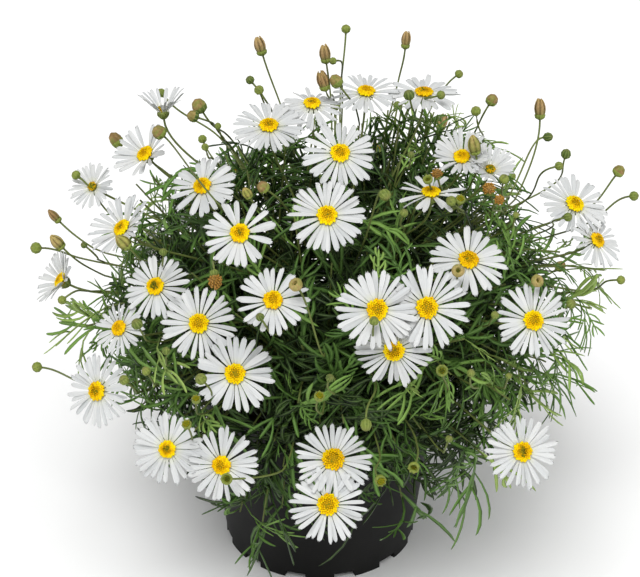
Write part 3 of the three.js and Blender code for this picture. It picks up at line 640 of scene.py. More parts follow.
class Finish:
    """A material whose colour and relief come from nodes."""

    def __init__(self, name, **sockets):
        self.material = bpy.data.materials.new(name)
        self.material.use_nodes = True
        self.tree = self.material.node_tree
        self.shader = self.tree.nodes["Principled BSDF"]
        for socket, value in sockets.items():
            self.shader.inputs[socket.replace("_", " ")].default_value = value

    def node(self, kind, inputs=None, **settings):
        """A new node, whose inputs are other nodes' outputs, numbers or colours."""
        made = self.tree.nodes.new("ShaderNode" + kind)
        for key, value in settings.items():
            setattr(made, key, value)
        for key, value in (inputs or {}).items():
            if isinstance(value, bpy.types.NodeSocket):
                self.tree.links.new(value, made.inputs[key])
            else:
                made.inputs[key].default_value = (*value, 1) if isinstance(value, tuple) else value
        return made

    def math(self, operation, one, other=0.0):
        return self.node("Math", {0: one, 1: other}, operation=operation).outputs[0]

    def tone(self):
        return self.node("Attribute", attribute_name="tone").outputs["Fac"]

    def along_and_across(self):
        uv = self.node("UVMap", uv_map="UVMap").outputs["UV"]
        parts = self.node("SeparateXYZ", {0: uv})
        return parts.outputs["Y"], parts.outputs["X"]

    def from_middle(self, across):
        return self.math("ABSOLUTE", self.math("SUBTRACT", across, 0.5))

    def place(self):
        return self.node("TexCoord").outputs["Object"]

    def noise(self, scale, detail=2.0, roughness=0.5, at=None):
        vector = self.place() if at is None else at
        inputs = {"Vector": vector, "Scale": scale, "Detail": detail, "Roughness": roughness}
        return self.node("TexNoise", inputs).outputs["Fac"]

    def span(self, value, low, high, first=0.0, last=1.0):
        inputs = {"Value": value, "From Min": low, "From Max": high, "To Min": first, "To Max": last}
        return self.node("MapRange", inputs).outputs["Result"]

    def mix(self, share, one, other):
        return self.node("Mix", {0: share, 6: one, 7: other}, data_type="RGBA").outputs[2]

    def patch(self, body, value, low, high, share, color):
        """Lays a colour over the body, up to a share, as a value goes from low to high."""
        return self.mix(self.span(value, low, high, 0.0, share), body, color)

    def ramp(self, share, *stops):
        made = self.node("ValToRGB", {"Fac": share})
        elements = made.color_ramp.elements
        for element, (position, color) in zip(elements, (stops[0], stops[-1])):
            element.position, element.color = position, (*color, 1)
        for position, color in stops[1:-1]:
            elements.new(position).color = (*color, 1)
        return made.outputs["Color"]

    def color(self, socket):
        self.tree.links.new(socket, self.shader.inputs["Base Color"])

    def relief(self, height, distance, strength=1.0):
        bump = self.node("Bump", {"Height": height, "Distance": distance, "Strength": strength})
        self.tree.links.new(bump.outputs["Normal"], self.shader.inputs["Normal"])


def petal_finish():
    finish = Finish(
        "petal_white", Roughness=0.55, Subsurface_Weight=0.2, Subsurface_Radius=(1, 0.95, 0.9),
        Subsurface_Scale=1.5 * MM,
    )
    tone, (along, across) = finish.tone(), finish.along_and_across()
    body = finish.mix(tone, (0.55, 0.565, 0.565), (0.655, 0.66, 0.65))
    stretched = finish.node("CombineXYZ", {
        "X": finish.math("MULTIPLY", across, 7.0), "Y": finish.math("MULTIPLY", along, 0.9),
        "Z": finish.math("MULTIPLY", tone, 40.0),
    }).outputs[0]
    # Grey streaks along each ray: painted shade of its fine grooves. The same noise gives the rays their
    # relief.
    groove_relief_and_shade = finish.noise(1.6, at=stretched)
    body = finish.patch(body, groove_relief_and_shade, 0.48, 0.72, 0.6, (0.46, 0.48, 0.5))
    root = finish.span(along, 0.0, 0.3, 0.55, 0.0)
    finish.color(finish.mix(root, body, (0.66, 0.68, 0.38)))
    finish.relief(groove_relief_and_shade, 0.12 * MM, 0.6)
    return finish.material


def floret_finish():
    finish = Finish("floret_yellow", Roughness=0.7, Specular_IOR_Level=0.1)
    body = finish.ramp(
        finish.tone(),
        (0.0, (0.03, 0.055, 0.006)), (0.17, (0.18, 0.22, 0.01)), (0.28, (0.57, 0.32, 0.0)),
        (0.5, (0.78, 0.43, 0.0)), (0.75, (0.87, 0.63, 0.0)), (1.0, (0.92, 0.77, 0.0)),
    )
    grain = finish.noise(2200.0)
    finish.color(finish.patch(body, grain, 0.5, 0.7, 0.4, (0.6, 0.31, 0.0)))
    finish.relief(grain, 0.12 * MM, 0.6)
    return finish.material


def leaf_finish():
    finish = Finish("leaf_green", Roughness=0.5, Specular_IOR_Level=0.28)
    across = finish.along_and_across()[1]
    # The tone runs from near-black painted shade, for leaves deep inside and low down, to the bright green
    # of the outermost leaves, so this ramp paints the plant's light and shade as well as its greens.
    body = finish.ramp(
        finish.tone(), (0.0, (0.004, 0.011, 0.004)), (0.2, (0.03, 0.078, 0.015)),
        (0.5, (0.1, 0.215, 0.037)), (0.8, (0.2, 0.355, 0.07)), (1.0, (0.33, 0.46, 0.115)),
    )
    body = finish.patch(body, finish.noise(160.0, 3.0), 0.35, 0.7, 0.3, (0.12, 0.23, 0.035))
    rib = finish.span(finish.from_middle(across), 0.0, 0.16, 0.35, 0.0)
    finish.color(finish.mix(rib, body, (0.22, 0.35, 0.09)))
    finish.relief(finish.noise(1500.0), 0.1 * MM, 0.5)
    return finish.material


def stalk_finish():
    finish = Finish("stalk_green", Roughness=0.55, Specular_IOR_Level=0.25)
    body = finish.mix(finish.tone(), (0.085, 0.11, 0.027), (0.15, 0.19, 0.045))
    finish.color(finish.patch(body, finish.noise(90.0, 3.0), 0.5, 0.7, 0.35, (0.09, 0.075, 0.04)))
    finish.relief(finish.noise(1800.0), 0.08 * MM, 0.5)
    return finish.material


def bud_finish():
    finish = Finish("bud_green", Roughness=0.6, Specular_IOR_Level=0.2)
    along, across = finish.along_and_across()
    body = finish.mix(finish.tone(), (0.06, 0.1, 0.018), (0.23, 0.28, 0.05))
    body = finish.patch(body, along, 0.6, 1.0, 0.55, (0.2, 0.17, 0.06))
    body = finish.patch(body, finish.from_middle(across), 0.25, 0.5, 0.6, (0.3, 0.36, 0.1))
    seams = finish.noise(900.0)
    finish.color(finish.patch(body, seams, 0.5, 0.68, 0.5, (0.03, 0.06, 0.015)))
    finish.relief(seams, 0.15 * MM, 0.6)
    return finish.material


def closed_finish():
    """Closed and withered heads. Their tone goes from withered, by opening, to tan and striped."""
    finish = Finish("closed_head_tan", Roughness=0.7, Specular_IOR_Level=0.15)
    tone, (along, across) = finish.tone(), finish.along_and_across()
    body = finish.ramp(
        tone, (0.0, (0.5, 0.26, 0.04)), (0.14, (0.3, 0.15, 0.03)), (0.22, (0.21, 0.14, 0.055)),
        (0.45, (0.32, 0.2, 0.085)), (0.8, (0.43, 0.3, 0.14)), (1.0, (0.34, 0.36, 0.07)),
    )
    base = finish.math("MULTIPLY", finish.span(along, 0.0, 0.4, 0.85, 0.0), finish.span(tone, 0.1, 0.2))
    body = finish.mix(base, body, (0.19, 0.24, 0.06))
    body = finish.patch(body, finish.from_middle(across), 0.28, 0.5, 0.6, (0.12, 0.1, 0.03))
    green_share = finish.ramp(
        tone, (0.12, (0, 0, 0)), (0.2, (0.75, 0.75, 0.75)), (0.4, (0.75, 0.75, 0.75)),
        (0.44, (0.15, 0.15, 0.15)), (0.82, (0.15, 0.15, 0.15)), (0.86, (0.6, 0.6, 0.6)),
    )
    green = finish.math("MULTIPLY", finish.span(finish.noise(280.0), 0.42, 0.6), green_share)
    body = finish.mix(green, body, (0.2, 0.23, 0.05))
    tip = finish.math("MULTIPLY", finish.span(along, 0.7, 1.0, 0.0, 0.55), finish.span(tone, 0.4, 0.5))
    body = finish.mix(tip, body, (0.55, 0.4, 0.14))
    grain = finish.noise(1100.0)
    body = finish.patch(body, grain, 0.5, 0.7, 0.45, (0.17, 0.08, 0.025))
    finish.color(finish.patch(body, finish.noise(420.0), 0.5, 0.7, 0.4, (0.5, 0.34, 0.15)))
    finish.relief(grain, 0.12 * MM, 0.5)
    return finish.material


def pot_finish():
    finish = Finish("pot_black_plastic", Roughness=0.5, Specular_IOR_Level=0.12)
    broad = finish.span(finish.noise(22.0, 4.0), 0.35, 0.7)
    body = finish.mix(broad, (0.006, 0.006, 0.0058), (0.012, 0.012, 0.0115))
    dust = finish.noise(420.0, 5.0, 0.7)
    finish.color(finish.patch(body, dust, 0.62, 0.8, 0.2, (0.05, 0.047, 0.042)))
    height = finish.node("SeparateXYZ", {0: finish.place()}).outputs["Z"]
    rings = finish.math("SINE", finish.math("MULTIPLY", height, 2 * math.pi / POT_RING_PITCH))
    grain = finish.noise(900.0, 3.0)
    finish.relief(finish.math("ADD", finish.math("MULTIPLY", rings, 0.12), grain), 0.06 * MM, 0.7)
    return finish.material


def soil_finish():
    finish = Finish("soil_brown", Roughness=0.95)
    crumbs = finish.noise(260.0, 6.0, 0.7)
    finish.color(finish.ramp(
        crumbs, (0.3, (0.008, 0.005, 0.004)), (0.55, (0.035, 0.02, 0.012)), (0.8, (0.09, 0.055, 0.032)),
    ))
    finish.relief(crumbs, 1.2 * MM, 0.9)
    return finish.material


# Daisies

def ray_template(index):
    """A ray one unit long and two wide: narrow at its root, widest at two thirds, with a blunt,
    finely notched tip and two shallow grooves."""
    spans = len(RAY_STOPS) - 1
    bm = blade(4, spans)
    bend = draw.uniform(-0.05, 0.05)
    arch = draw.uniform(0.02, 0.12)
    twist = draw.uniform(-0.3, 0.3)
    curl = draw.uniform(-0.03, 0.07)
    notches = [draw.uniform(0.03, 0.1), 0, draw.uniform(0.03, 0.11), 0, draw.uniform(0.03, 0.1)]
    widest = draw.uniform(0.6, 0.76)

    def rule(co):
        row = min(spans, max(0, round(co.x * spans)))
        t = RAY_STOPS[row]
        side = co.y
        if t < widest:
            width = 0.28 + 0.72 * math.sin(math.pi / 2 * t / widest) ** 1.3
        else:
            width = math.sqrt(1 - 0.72 * ((t - widest) / (1 - widest)) ** 3)
        column = round((side + 1) * 2)
        cut = (t > 0.96) * (1 if row == spans else 0.4)
        reach = t - (notches[column] + 0.035 * abs(side) ** 2) * cut
        groove = -0.045 if column in (1, 3) else 0.03 * (1 - abs(side))
        z = co.z * (1 - 0.55 * t) * 0.022 + groove * 0.35 * min(1, 3 * t) * (1 - 0.4 * t)
        z += curl * side * side * width * t
        z += arch * t * (1 - t) * 1.2 - arch * t * t * 0.9
        y = side * width
        turned = y * math.cos(twist * t)
        return Vector((reach, turned + bend * t * t * 6, z + y * math.sin(twist * t) * 0.12))

    shaped(bm, rule)
    return template(f"ray_{index}", bm)


def floret_template(name, opened, waist, mouth, height):
    """A small tube that widens to an open mouth, or one that is rounded over while it is closed."""
    bm = rod(5, 3)
    radii = (waist, waist * 1.1, mouth, mouth * (0.7 if opened else 0.35))
    levels = (0, 0.55, 0.9, 1)

    def rule(co):
        row = round(co.x * 3)
        flare = 1.25 if opened and row == 2 else 1
        return Vector((co.z * radii[row] * flare, co.y * radii[row] * flare, levels[row] * height))

    shaped(bm, rule)
    return template(name, bm)


def bracted(name, core, bract_form, count, sizes):
    """A core with bracts round it, which are of one size and the other by turns."""
    whole, bract = toned(), template("bract", bract_form)
    put_once(whole, core)
    for k in range(count):
        put(whole, bract, Matrix.Rotation(math.tau * k / count, 4, "Z") @ scaled(*sizes[k % 2]))
    bpy.data.meshes.remove(bract)
    return template(name, whole)


def cup_template():
    """The green cup under a daisy, about one unit in radius and 1.15 high with its narrow bracts."""
    core, bract = ball(16, 8), blade(2, 3)
    shaped(core, lambda co: Vector((co.x * 0.9, co.y * 0.9, co.z * 0.75 + 0.72)))

    def rule(co):
        width = 0.24 * (1 - 0.85 * co.x ** 2.2)
        out = 0.3 + 0.72 * math.sin(math.pi / 2 * min(1, co.x * 1.25)) + 0.03
        return Vector((out + co.z * 0.05, co.y * width, 1.15 * co.x))

    shaped(bract, rule)
    return bracted("daisy_cup", core, bract, CUP_BRACTS, ((0.94, 0.94, 0.94), (1, 1, 1)))


def fill_rays(bm, daisy, rays):
    """Sets one daisy's rays round its disc."""
    count = draw.randint(*RAY_COUNTS)
    rise = math.radians(OPENING.get(daisy["name"], 0))
    droop = DROOPING.get(daisy["name"], 0.0)
    kept = SPARSE.get(daisy["name"], 1)
    radius = daisy["radius"]
    root = radius * RAY_ROOT
    place = standing(daisy["middle"], daisy["normal"], draw.uniform(0, math.tau))
    length = (radius - root) * (1.05 if rise else 1)
    half_width = RAY_WIDTH * math.pi * radius / count * draw.uniform(0.86, 1.06)
    for k in range(count):
        if draw.random() > kept:
            continue
        turn = math.tau * (k + draw.uniform(-0.3, 0.3)) / count
        pitch = rise + draw.uniform(-0.06, 0.09) - droop * draw.uniform(0.3, 1.1)
        pitch += 0.05 if k % 2 else -0.02
        reach = length * draw.uniform(0.84, 1.0)
        matrix = (
            place
            @ Matrix.Rotation(turn, 4, "Z")
            @ Matrix.Translation((root, 0, 0.15 * MM * (k % 2)))
            @ Matrix.Rotation(-pitch, 4, "Y")
            @ Matrix.Rotation(draw.choice((-1, 1)) * draw.random() ** 2 * 0.6, 4, "X")
            @ scaled(reach, half_width * draw.uniform(0.84, 1.1), reach * 0.9)
        )
        put(bm, draw.choice(rays), matrix, draw.random())


def fill_disc(bm, daisy, dome, florets):
    """Covers one daisy's disc with florets in a spiral, open ones outside and buds inside."""
    young = daisy["name"] in YOUNG
    green = young or daisy["name"] in GREEN_HEARTED
    radius = daisy["radius"] * DISC_SHARE * DISC_SIZES.get(daisy["name"], 1) * (0.72 if young else 1)
    place = standing(daisy["middle"] + 0.2 * MM * daisy["normal"], daisy["normal"])
    height = DISC_HEIGHT * (0.8 if young else 0.86)
    ripe = draw.uniform(0, 0.12) if green else draw.uniform(0.28, 0.5)
    brightest = draw.uniform(0.7, 1)
    put(bm, dome, place @ scaled(radius * 0.93, radius * 0.93, height * 0.78), 0.22)
    for k in range(FLORET_COUNT):
        share = math.sqrt((k + 0.5) / FLORET_COUNT)
        turn, out = golden_turn(k), share * radius
        lift = math.sqrt(max(0.0, 1 - (share * 0.93) ** 2))
        local = Vector((out * math.cos(turn), out * math.sin(turn), lift * height * 0.72))
        outward = Vector((math.cos(turn) * share * 0.9, math.sin(turn) * share * 0.9, 1)).normalized()
        size = FLORET_SIZE * draw.uniform(0.85, 1.1) * (0.7 + 0.35 * share) * (0.8 if young else 1)
        kind = 0 if share > 0.5 and not young else 1
        far = share * (0.4 if young else 1)
        tone = ripe + (brightest - ripe) * far - draw.random() ** 2 * 0.35
        matrix = place @ standing(local, outward, draw.uniform(0, math.tau)) @ scaled(size, size, size)
        put(bm, florets[kind], matrix, min(1, max(0, tone)))


# Leaves, shoots and stalks

def arc(t, length, turn):
    """How far along and aside a strip that bends evenly through a turn has come, and its angle."""
    if abs(turn) < 1e-3:
        return length * t, 0.0, 0.0
    return length * math.sin(turn * t) / turn, length * (1 - math.cos(turn * t)) / turn, turn * t


def lobe_form(widths, length, width, turn, root=1.0):
    """One fleshy lobe along +X that bends aside, with a keel below, of these widths on its way."""
    spans = len(LOBE_STOPS) - 1
    bm = rod(4, spans)

    def rule(co):
        row = round(co.x * spans)
        share = widths[row]
        side = co.y * (width / 2 * share * (root if row == 0 else 1))
        x, y, angle = arc(LOBE_STOPS[row], length, turn)
        z = min(0, co.z) * width * 0.24 * share + abs(co.y) * width * 0.09
        return Vector((x - side * math.sin(angle), y + side * math.cos(angle), z))

    shaped(bm, rule)
    return bm


def leaf_template(kind, index):
    """A leaf cut to the rib into narrow lobes, which arches over and twists a little."""
    pairs, length, rib_width, share, lobe_width, angle = LEAF_KINDS[kind]
    widths = (BLUNT, TAPERED)[index % 2]
    whole = toned()
    put_once(whole, lobe_form(widths, length, rib_width, 0, 0.8))
    for k in range(pairs):
        at = 0.28 + 0.5 * k / max(1, pairs - 0.5) + draw.uniform(-0.03, 0.03)
        for side in (1, -1):
            if draw.random() < 0.1:
                continue
            reach = length * share * draw.uniform(0.75, 1.15) * (1 - 0.22 * k / pairs)
            start = length * (at + 0.05 * (side > 0) + draw.uniform(-0.02, 0.02))
            turn = math.radians(side * angle * draw.uniform(0.8, 1.3))
            wide = lobe_width * draw.uniform(0.8, 1.1)
            form = lobe_form(widths, reach, wide, -side * draw.uniform(-0.2, 1.3))
            lift = Matrix.Rotation(draw.uniform(-0.5, 0.35), 4, "Y")
            put_once(whole, form, Matrix.Translation((start, 0, 0)) @ Matrix.Rotation(turn, 4, "Z") @ lift)
    arch = draw.uniform(0.3, 1.7)
    aside = draw.uniform(-0.9, 0.9)
    twist = draw.uniform(-0.8, 0.8)

    def rule(co):
        turned = twist * co.x / length
        y = co.y * math.cos(turned) - co.z * math.sin(turned)
        z = co.y * math.sin(turned) + co.z * math.cos(turned)
        x, down, angle_down = arc(co.x / length, length, arch)
        x += z * math.sin(angle_down)
        level = z * math.cos(angle_down) - down
        x, over, angle_aside = arc(x / length, length, aside)
        return Vector((x - y * math.sin(angle_aside), over + y * math.cos(angle_aside), level))

    shaped(whole, rule)
    return template(f"leaf_{kind}_{index}", whole)


def in_cutting(place):
    """The cutting whose third of the plant a place is in."""
    bearing = math.degrees(math.atan2(place.y - POT_AXIS.y, place.x - POT_AXIS.x)) % 360
    if 90 <= bearing < 210:
        return "left"
    return "front" if 210 <= bearing < 330 else "right"


def in_pot(place, margin):
    """Whether a place is in or too near the pot's wall."""
    if place.z > POT_HEIGHT + margin:
        return False
    radius = (place - POT_AXIS).xy.length
    return radius < POT_BASE + (POT_LIP - POT_BASE) * max(0, place.z) / POT_HEIGHT + margin


def over_daisy(place, daisy, above, below):
    """Whether a place is over a daisy or under it, within these heights."""
    offset = place - daisy["middle"]
    height = offset.dot(daisy["normal"])
    return -below < height < above and (offset - height * daisy["normal"]).length < daisy["radius"]


def covers_daisy(place, daisies):
    """Whether a place is over a daisy, or hides a part of it in the photograph's view."""
    look = place - EYE
    for daisy in daisies:
        if over_daisy(place, daisy, 30 * MM, 1.5 * MM):
            return True
        slope = look.dot(daisy["normal"])
        if slope < -0.02 * VIEW_DISTANCE:
            share = (daisy["middle"] - EYE).dot(daisy["normal"]) / slope
            if share > 1 and (EYE + look * share - daisy["middle"]).length < 1.03 * daisy["radius"]:
                return True
    return False


def over_crest(place):
    """Whether a place stands out above the mound's crest."""
    offset = place - MOUND_MIDDLE
    loose = offset.x > 20 * MM and offset.y > 30 * MM
    most = LOOSE_REACH if loose else CREST_REACH
    return offset.z > 0.4 * MOUND_HIGH and divided(offset, shell(0)).length > most


def past_box(place):
    """Whether a place is further out than the CAD's box and a leaf's room."""
    return max(abs(place.x), abs(place.y)) > max(cad_high.x, cad_high.y) + LEAF_ROOM


def out_of_bounds(place):
    return in_pot(place, 1.2 * MM) or over_crest(place) or past_box(place)


def thinned(place):
    """Whether a leaf is left out because the photograph sees between the leaves there."""
    for pixel, wide, kept in THIN_PLACES:
        if (place - EYE).cross(sightline(*pixel)).length < wide:
            return thinning.random() > kept
    return False


def under_front(place):
    """How far a place is in the shade of the middle of the front: 1 in the middle, 0 at the sides."""
    return max(0, 1 - abs(place.x - POT_AXIS.x) / FRONT_SHADE) if place.y < POT_AXIS.y else 0


def shoot_places():
    """The tips of the leafy shoots: spread evenly over the mound, and those seen at its outline."""
    top, bottom = SHOOT_HEIGHTS
    for k in range(SHOOT_COUNT):
        height = top + (bottom - top) * (k + 0.5) / SHOOT_COUNT
        way = on_ball(height, golden_turn(k) + draw.uniform(-0.15, 0.15))
        reach = draw.uniform(*SHOOT_REACH) + 0.1 * max(0, height)
        yield MOUND_MIDDLE + times(way, shell(0)) * reach
    for u, v in SPRAYS:
        yield seen_on_shell(u, v, -4 * MM)


def shoot_path(base, tip):
    """From the soil up and out, over the pot's rim where the shoot hangs, to its tip."""
    out = tip - POT_AXIS
    reach = out.xy.length
    bend = max(0.6, min(1.1, 64 * MM / reach)) if reach > 50 * MM else 0.6
    over = POT_AXIS + Vector((out.x, out.y, 0)) * bend
    over.z = max(tip.z + 0.1 * reach, POT_HEIGHT + 20 * MM)
    if tip.z > MOUND_MIDDLE.z + 30 * MM:
        over = base.lerp(tip, 0.65) + 0.06 * reach * UP
    first = base + Vector((out.x * 0.12, out.y * 0.12, 34 * MM))
    return bezier(base - 3 * MM * UP, first, over, tip)


def beside(along, turn):
    """The direction square to a path that is turned round it by an angle."""
    side = along.orthogonal().normalized()
    side.rotate(Matrix.Rotation(turn, 3, along))
    return side


def leaf_matrix(place, along, face, size):
    """Stands a leaf on a place: X along it and Z out of its face."""
    x = along.normalized()
    y = face.cross(x).normalized()
    turn = Matrix((x, y, x.cross(y))).transposed().to_4x4()
    return Matrix.Translation(place) @ turn @ scaled(size, size, size)


def grow_leaf(leaves, forms, place, way, face, size, tone, daisies):
    """Puts in a leaf, unless it is thinned out, out of bounds or hides some of a daisy."""
    mesh = draw.choice(forms)
    matrix = leaf_matrix(place, way, face, size)
    spots = [matrix @ mesh.vertices[k].co for k in range(0, len(mesh.vertices), 11)]
    if thinned(place) or any(out_of_bounds(spot) for spot in spots):
        return
    if not any(covers_daisy(spot, daisies) for spot in spots):
        put(leaves, mesh, matrix, min(1, max(0, tone)))


def grow_inner_leaf(leaves, forms, path, daisies):
    """A leaf in the heart of the plant, painted near-black as painted shade."""
    place, along = path(draw.uniform(0.22, 0.62))
    way = (along * 0.5 + beside(along, draw.uniform(0, math.tau)) + 0.2 * UP).normalized()
    # The low tone is painted shade: near-black on the leaf ramp.
    size, tone = draw.uniform(0.9, 1.25), draw.uniform(0, 0.12)
    grow_leaf(leaves, forms["strap"], place, way, way.orthogonal(), size, tone, daisies)


def grow_outer_leaf(leaves, forms, path, share, turn, daisies):
    """A leaf of the shoot's outer part, which faces out. Young ones at the tip are the palest. Its tone is
    painted shade and light: darker the deeper it lies in the mound, the lower it is and the nearer the
    middle of the front, and brightest at the outside.
    """
    place, along = path(min(1, share))
    outward = divided(place - MOUND_MIDDLE, shell(0)).normalized()
    side = beside(along, turn)
    way = (along + side * (1.9 - 1.3 * share) * 1.5 + outward * 0.25 + UP * 0.12).normalized()
    kind = draw.choice(TIP_LEAVES if share > 0.9 else STEM_LEAVES)
    low = max(0, (MOUND_MIDDLE.z - place.z) / MOUND_HIGH)
    size = draw.uniform(0.74, 1.08) * (1 + 0.25 * low)
    face = (outward * 1.1 + UP * 0.3 + side * draw.uniform(-0.8, 0.8)).normalized()
    if abs(face.dot(way)) > 0.94:
        face = way.orthogonal()
    young = (0.34 - 0.2 * min(1, low)) * max(0, share - 0.8) / 0.2
    # Painted shade: the tone falls with depth in the mound, with lowness, and under the middle of the
    # front.
    depth = divided(place - MOUND_MIDDLE, shell(0)).length
    front = under_front(place)
    shade = 0.56 * front * min(1, 2.5 * low) + 0.3 * (1 - front) * low
    tone = 2.1 * (depth - 0.6) - shade + young * draw.random() + draw.uniform(-0.3, 0.32)
    grow_leaf(leaves, forms[kind], place, way, face, size, tone, daisies)


def grow_shoot(tip, parts, forms, daisies):
    """A leafy shoot from its cutting's foot to a tip, drawn in until its stem hides no daisy."""
    cutting = in_cutting(tip)
    foot = POT_AXIS + CUTTING_RING * outward_at(CUTTINGS[cutting], 0) + SOIL_TOP * UP
    base = foot + Vector((draw.uniform(-4, 4), draw.uniform(-4, 4), 0)) * MM
    path = shoot_path(base, tip)
    while any(covers_daisy(path(share)[0], daisies) for share in (0.7, 0.8, 0.9, 1)):
        tip = tip.lerp(MOUND_MIDDLE, 0.07)
        path = shoot_path(base, tip)
        if (tip - MOUND_MIDDLE).length < 20 * MM:
            break
    thick = draw.uniform(0.6, 0.85) * MM
    stem = along_path(path, lambda t: thick * (1.2 - 0.65 * t), 5, 9)
    put_once(parts["stems"][cutting], stem, tone=draw.random())
    spin = draw.uniform(0, math.tau)
    leaves = parts["leaves"][cutting]
    for _ in range(INNER_LEAVES):
        grow_inner_leaf(leaves, forms, path, daisies)
    for k in range(SHOOT_LEAVES):
        share = 0.56 + 0.44 * ((k + draw.random()) / SHOOT_LEAVES) ** 0.7
        grow_outer_leaf(leaves, forms, path, share, spin + NEXT_TURN * k, daisies)


def grow_stalk(stems, foot, axis, entry, radius):
    """A stalk that comes out of the leaves at its entry and meets its head along the head's axis.
    It gives back the cutting that it belongs to."""
    cutting = in_cutting(entry)
    out = (entry - MOUND_MIDDLE).normalized()
    inner = entry - out * 34 * MM
    way = foot - entry
    reach = way.length
    turn = (way.normalized() + out * 0.25).normalized()
    last = reach * 0.4 * max(0.25, axis.dot(way.normalized()))
    path = joined(
        bezier(inner, inner + out * 10 * MM, entry - turn * 10 * MM, entry),
        bezier(entry, entry + turn * reach * 0.35, foot - axis * last, foot), 0.3,
    )
    stem = along_path(path, lambda t: radius * (0.82 + 0.13 * t), 6, 18)
    put_once(stems[cutting], stem, tone=draw.uniform(0.3, 1))
    return cutting


# Buds

def bud_core_template():
    """A round green bud of overlapping bracts, one unit in radius and two long."""
    core, bract = ball(12, 8), blade(2, 4)
    set_uv(core, lambda co: (0.5, (co.z + 1) / 2))
    shaped(core, lambda co: Vector((co.x * 0.93, co.y * 0.93, co.z * 0.96 + 1)))

    def rule(co):
        angle = math.pi * (0.1 + 0.86 * co.x)
        out = math.sin(angle) * 0.98 + 0.02
        width = 0.46 * math.sin(math.pi * (0.16 + 0.8 * co.x))
        return Vector((out - 0.06 * co.y * co.y + co.z * 0.05, co.y * width, 1 - math.cos(angle)))

    shaped(bract, rule)
    return bracted("bud_core", core, bract, BUD_BRACTS, ((0.985, 0.985, 1), (1.01, 1.01, 1)))


def folded_ray(count, barrel, gather, long, lean, inner):
    """One of the narrow blades of a closed head, which swells out and gathers at its tip."""
    form = rod(4, 5)

    def rule(co):
        t = co.x
        out = barrel * math.sin(math.pi * (0.2 + 0.58 * t)) + gather * t - inner
        half = 1.7 * math.pi * barrel / count * (1 - 0.88 * t ** 5)
        x, y = out + co.z * 0.09 + lean * t * t, co.y * half + lean * t * t
        return Vector((x, y, 0.36 + 1.64 * long * t))

    shaped(form, rule)
    return form


def folded_template(name, count, barrel, gather, ragged):
    """Rays folded together over a disc: a barrel of narrow blades whose tips gather."""
    whole = toned()
    for k in range(count):
        long = 1 - ragged * draw.random()
        lean = draw.uniform(-0.3, 0.3) * ragged
        form = folded_ray(count, barrel, gather, long, lean, 0.12 * (k % 2))
        put_once(whole, form, Matrix.Rotation(math.tau * k / count, 4, "Z"), draw.random())
    return template(name, whole)


def withered_template():
    """A withered head: a ball of spent florets that stand out in every direction but down."""
    whole, spike_form = toned(), rod(3, 2)
    shaped(spike_form, lambda co: Vector((co.z, co.y, co.x)) * (1 - 0.5 * abs(co.x - 0.5)))
    spike = template("spike", spike_form)
    for k in range(SPIKE_COUNT):
        way = on_ball(1 - 1.6 * (k + 0.5) / SPIKE_COUNT, NEXT_TURN * k)
        place = WITHERED_MIDDLE * UP + way * 0.5
        long = draw.uniform(0.3, 0.72)
        way = (way + Vector((draw.uniform(-0.3, 0.3), draw.uniform(-0.3, 0.3), 0.2))).normalized()
        put(whole, spike, standing(place, way, draw.uniform(0, 6)) @ scaled(0.15, 0.15, long))
    bpy.data.meshes.remove(spike)
    put_once(whole, ball(12, 8, 0.66), Matrix.Translation(WITHERED_MIDDLE * UP))
    return template("withered_head", whole)


def open_cup_template(name, mouth):
    """A small cup that stands open: a thick toothed rim round the mouth of its hollow."""
    bm = turned_profile([
        (0, 0), (0.55, 0.12), (0.92, 0.62), (1, 1.15), (mouth + 0.2, 1.5), (mouth, 1.54),
        (mouth - 0.1, 1.2), (mouth * 0.6, 0.9), (0, 0.8),
    ], 24)
    set_uv(bm, lambda co: (0.5, co.z / 2))

    def rule(co):
        if co.z < 1.4:
            return co
        wave = math.cos(8 * math.atan2(co.y, co.x))
        return Vector((co.x * (1 + 0.08 * wave), co.y * (1 + 0.08 * wave), co.z + 0.12 * wave))

    shaped(bm, rule)
    return template(name, bm)


def fill_cup(parts, forms, kind, foot, axis, place, half, tall):
    """Sets an open cup with its heart, and the florets on the heart of a ring or a young head."""
    hollow, ring = kind == "hollow", kind != "young"
    matrix = place @ scaled(half, half, tall * 1.15)
    if hollow:
        put(parts["closed_heads"], forms["narrow_cup"], matrix, 0.86)
    else:
        put(parts["buds"], forms["wide_cup"], matrix, draw.uniform(0.75, 1))
    lift = foot + axis * tall * (0.85 if ring else 1.3)
    swell = tall * (0.3 if ring else 0.55)
    wide = half * (0.44 if hollow else 0.7)
    florets = parts["bud_florets"]
    put(florets, forms["dome"], standing(lift, axis) @ scaled(wide, wide, swell), 0.0 if ring else 0.13)
    upright = standing(Vector(), axis).to_3x3()
    for k in range(0 if hollow else CUP_FLORETS):
        share = math.sqrt((k + 0.5) / CUP_FLORETS)
        turn, out = NEXT_TURN * k, share * half * 0.62
        level = swell * math.sqrt(1 - share * share * 0.85)
        spot = lift + upright @ Vector((out * math.cos(turn), out * math.sin(turn), level))
        shade = 0.16 * share if ring else 0.12 + 0.1 * share
        matrix = standing(spot, axis) @ scaled(0.4 * MM, 0.4 * MM, 0.36 * MM)
        put(florets, forms["floret"], matrix, shade)


